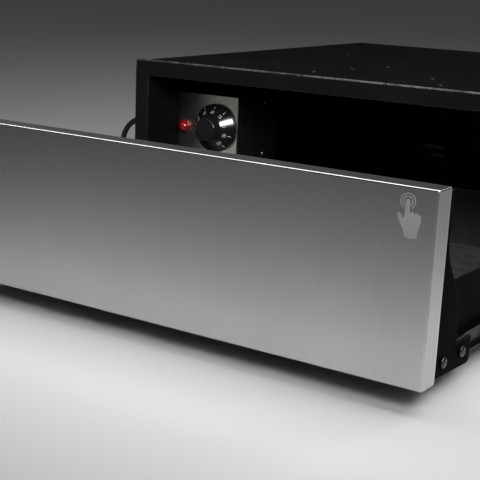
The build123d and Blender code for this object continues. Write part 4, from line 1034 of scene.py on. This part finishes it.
touchMark = {
    "ring": (0.2552, 0.1488),    # x and z of the rings' middle
    "ringSizes": ((0.0057, 0.0049), (0.0037, 0.0030)), "ringSteps": 56,
    "ringGap": 0.62,    # half the rings' opening below, where the finger comes in, in radians
    "front": -0.6650, "proud": 0.00002, "sunk": 0.00010, "rounding": 3, "cornerCuts": (0.25, 0.75),
    # the hand's outline round the fingertip at (0, 0), in mm, clockwise from the fingertip's left
    "hand": ((-1.6, -0.6), (-1.6, 1.0), (0.0, 1.9), (1.6, 1.0), (1.6, -0.6), (1.7, -5.2), (2.2, -8.6),
             (2.5, -7.0), (3.9, -6.3), (5.0, -7.0), (5.2, -8.9), (5.5, -7.6), (6.8, -7.0), (7.7, -7.8),
             (7.9, -9.4), (8.3, -8.3), (9.4, -8.0), (10.2, -9.0), (10.2, -12.4), (9.6, -16.6), (8.2, -19.6),
             (7.9, -21.4), (8.3, -24.8), (-0.9, -24.8), (-1.0, -22.2), (-2.0, -19.6), (-4.2, -16.6),
             (-6.2, -12.4), (-7.4, -9.6), (-6.4, -8.2), (-4.6, -8.9), (-2.6, -12.4), (-1.9, -11.0),
             (-1.8, -6.0)),
}


def makeTouchMark(mark):
    work = bmesh.new()
    middleX, middleZ = mark["ring"]

    def lift(x, y, share):
        depth = -mark["proud"] if share else mark["sunk"]
        return Vector((middleX + x, mark["front"] + depth, middleZ + y))

    steps, gap = mark["ringSteps"], mark["ringGap"]
    angles = [-math.pi + gap + (2 * math.pi - 2 * gap) * i / steps for i in range(steps + 1)]
    for outer, inner in mark["ringSizes"]:
        band = bmesh.new()
        circles = [[band.verts.new((radius * math.sin(angle), radius * math.cos(angle), 0))
                    for angle in angles] for radius in (outer, inner)]
        for i in range(steps):
            band.faces.new([circles[1][i], circles[1][i + 1], circles[0][i + 1], circles[0][i]])
        raised(work, band, lift)
        band.free()
    hand = bmesh.new()
    corners = [Vector(place) / 1000 for place in mark["hand"]]
    for _ in range(mark["rounding"]):    # cuts every corner, so that the outline turns round
        sides = zip(corners, corners[1:] + corners[:1])
        corners = [first.lerp(second, share) for first, second in sides for share in mark["cornerCuts"]]
    hand.faces.new([hand.verts.new((*place, 0)) for place in corners])
    bmesh.ops.triangulate(hand, faces=hand.faces)
    raised(work, hand, lift)
    hand.free()
    return fromMesh("touchMark", work, "drawer", "etchedSteel", smooth=20.0)


makeTouchMark(touchMark)
print("figures and mark made")

studio = {
    "floorHalf": 16.0, "floorHeight": -0.0004,
    "floorLook": {
        "fixed": {"Specular IOR Level": 0.3}, "colour": (0.74, 0.74, 0.735),
        "other": (0.7178, 0.7178, 0.71295), "cloud": 0.6, "rough": (0.6, 0.7), "roughCloud": 0.3,
    },
    "worldColour": (0.62, 0.63, 0.64), "worldStrength": 0.09,
    "lamps": {
        "overhead": {"place": (0.05, -0.60, 0.48), "aim": (0.05, -0.60, 0.0), "size": (1.3, 0.26),
                     "power": 3.6, "spread": 180.0},
        "behind": {"place": (0.9, 1.1, 1.5), "aim": (0.0, 0.3, 0.0), "size": (0.9, 0.9),
                   "power": 9.0, "spread": 180.0},
        "rightSide": {"place": (1.5, -0.1, 1.0), "aim": (0.2, -0.55, 0.1), "size": (0.8, 1.0),
                      "power": 2.0, "spread": 180.0},
        "dialSide": {"place": (0.60, -1.05, 0.66), "aim": (-0.22, -0.21, 0.11), "size": (0.34, 0.46),
                     "power": 1.6, "spread": 60.0},
    },
}


def makeStudio(rig):
    half, height = rig["floorHalf"], rig["floorHeight"]
    mesh = bpy.data.meshes.new("floor")
    corners = [(-half, -half, height), (half, -half, height), (half, half, height), (-half, half, height)]
    mesh.from_pydata(corners, [], [(0, 1, 2, 3)])
    floor = bpy.data.objects.new("floor", mesh)
    scene.collection.objects.link(floor)
    mesh.materials.append(cloudyMaterial("paleFloor", rig["floorLook"]))
    world = bpy.data.worlds.new("studioWorld")
    world.use_nodes = True
    background = world.node_tree.nodes["Background"]
    background.inputs["Color"].default_value = (*rig["worldColour"], 1.0)
    background.inputs["Strength"].default_value = rig["worldStrength"]
    scene.world = world
    for name, lamp in rig["lamps"].items():
        data = bpy.data.lights.new(name, "AREA")
        data.shape = "RECTANGLE"
        data.size, data.size_y = lamp["size"]
        data.energy = lamp["power"]
        data.spread = math.radians(lamp["spread"])
        light = bpy.data.objects.new(name, data)
        light.location = lamp["place"]
        light.rotation_mode = "QUATERNION"
        ahead = Vector(lamp["aim"]) - Vector(lamp["place"])
        light.rotation_quaternion = ahead.to_track_quat("-Z", "Y")
        scene.collection.objects.link(light)


makeStudio(studio)
print("studio lit")

bpy.context.view_layer.update()
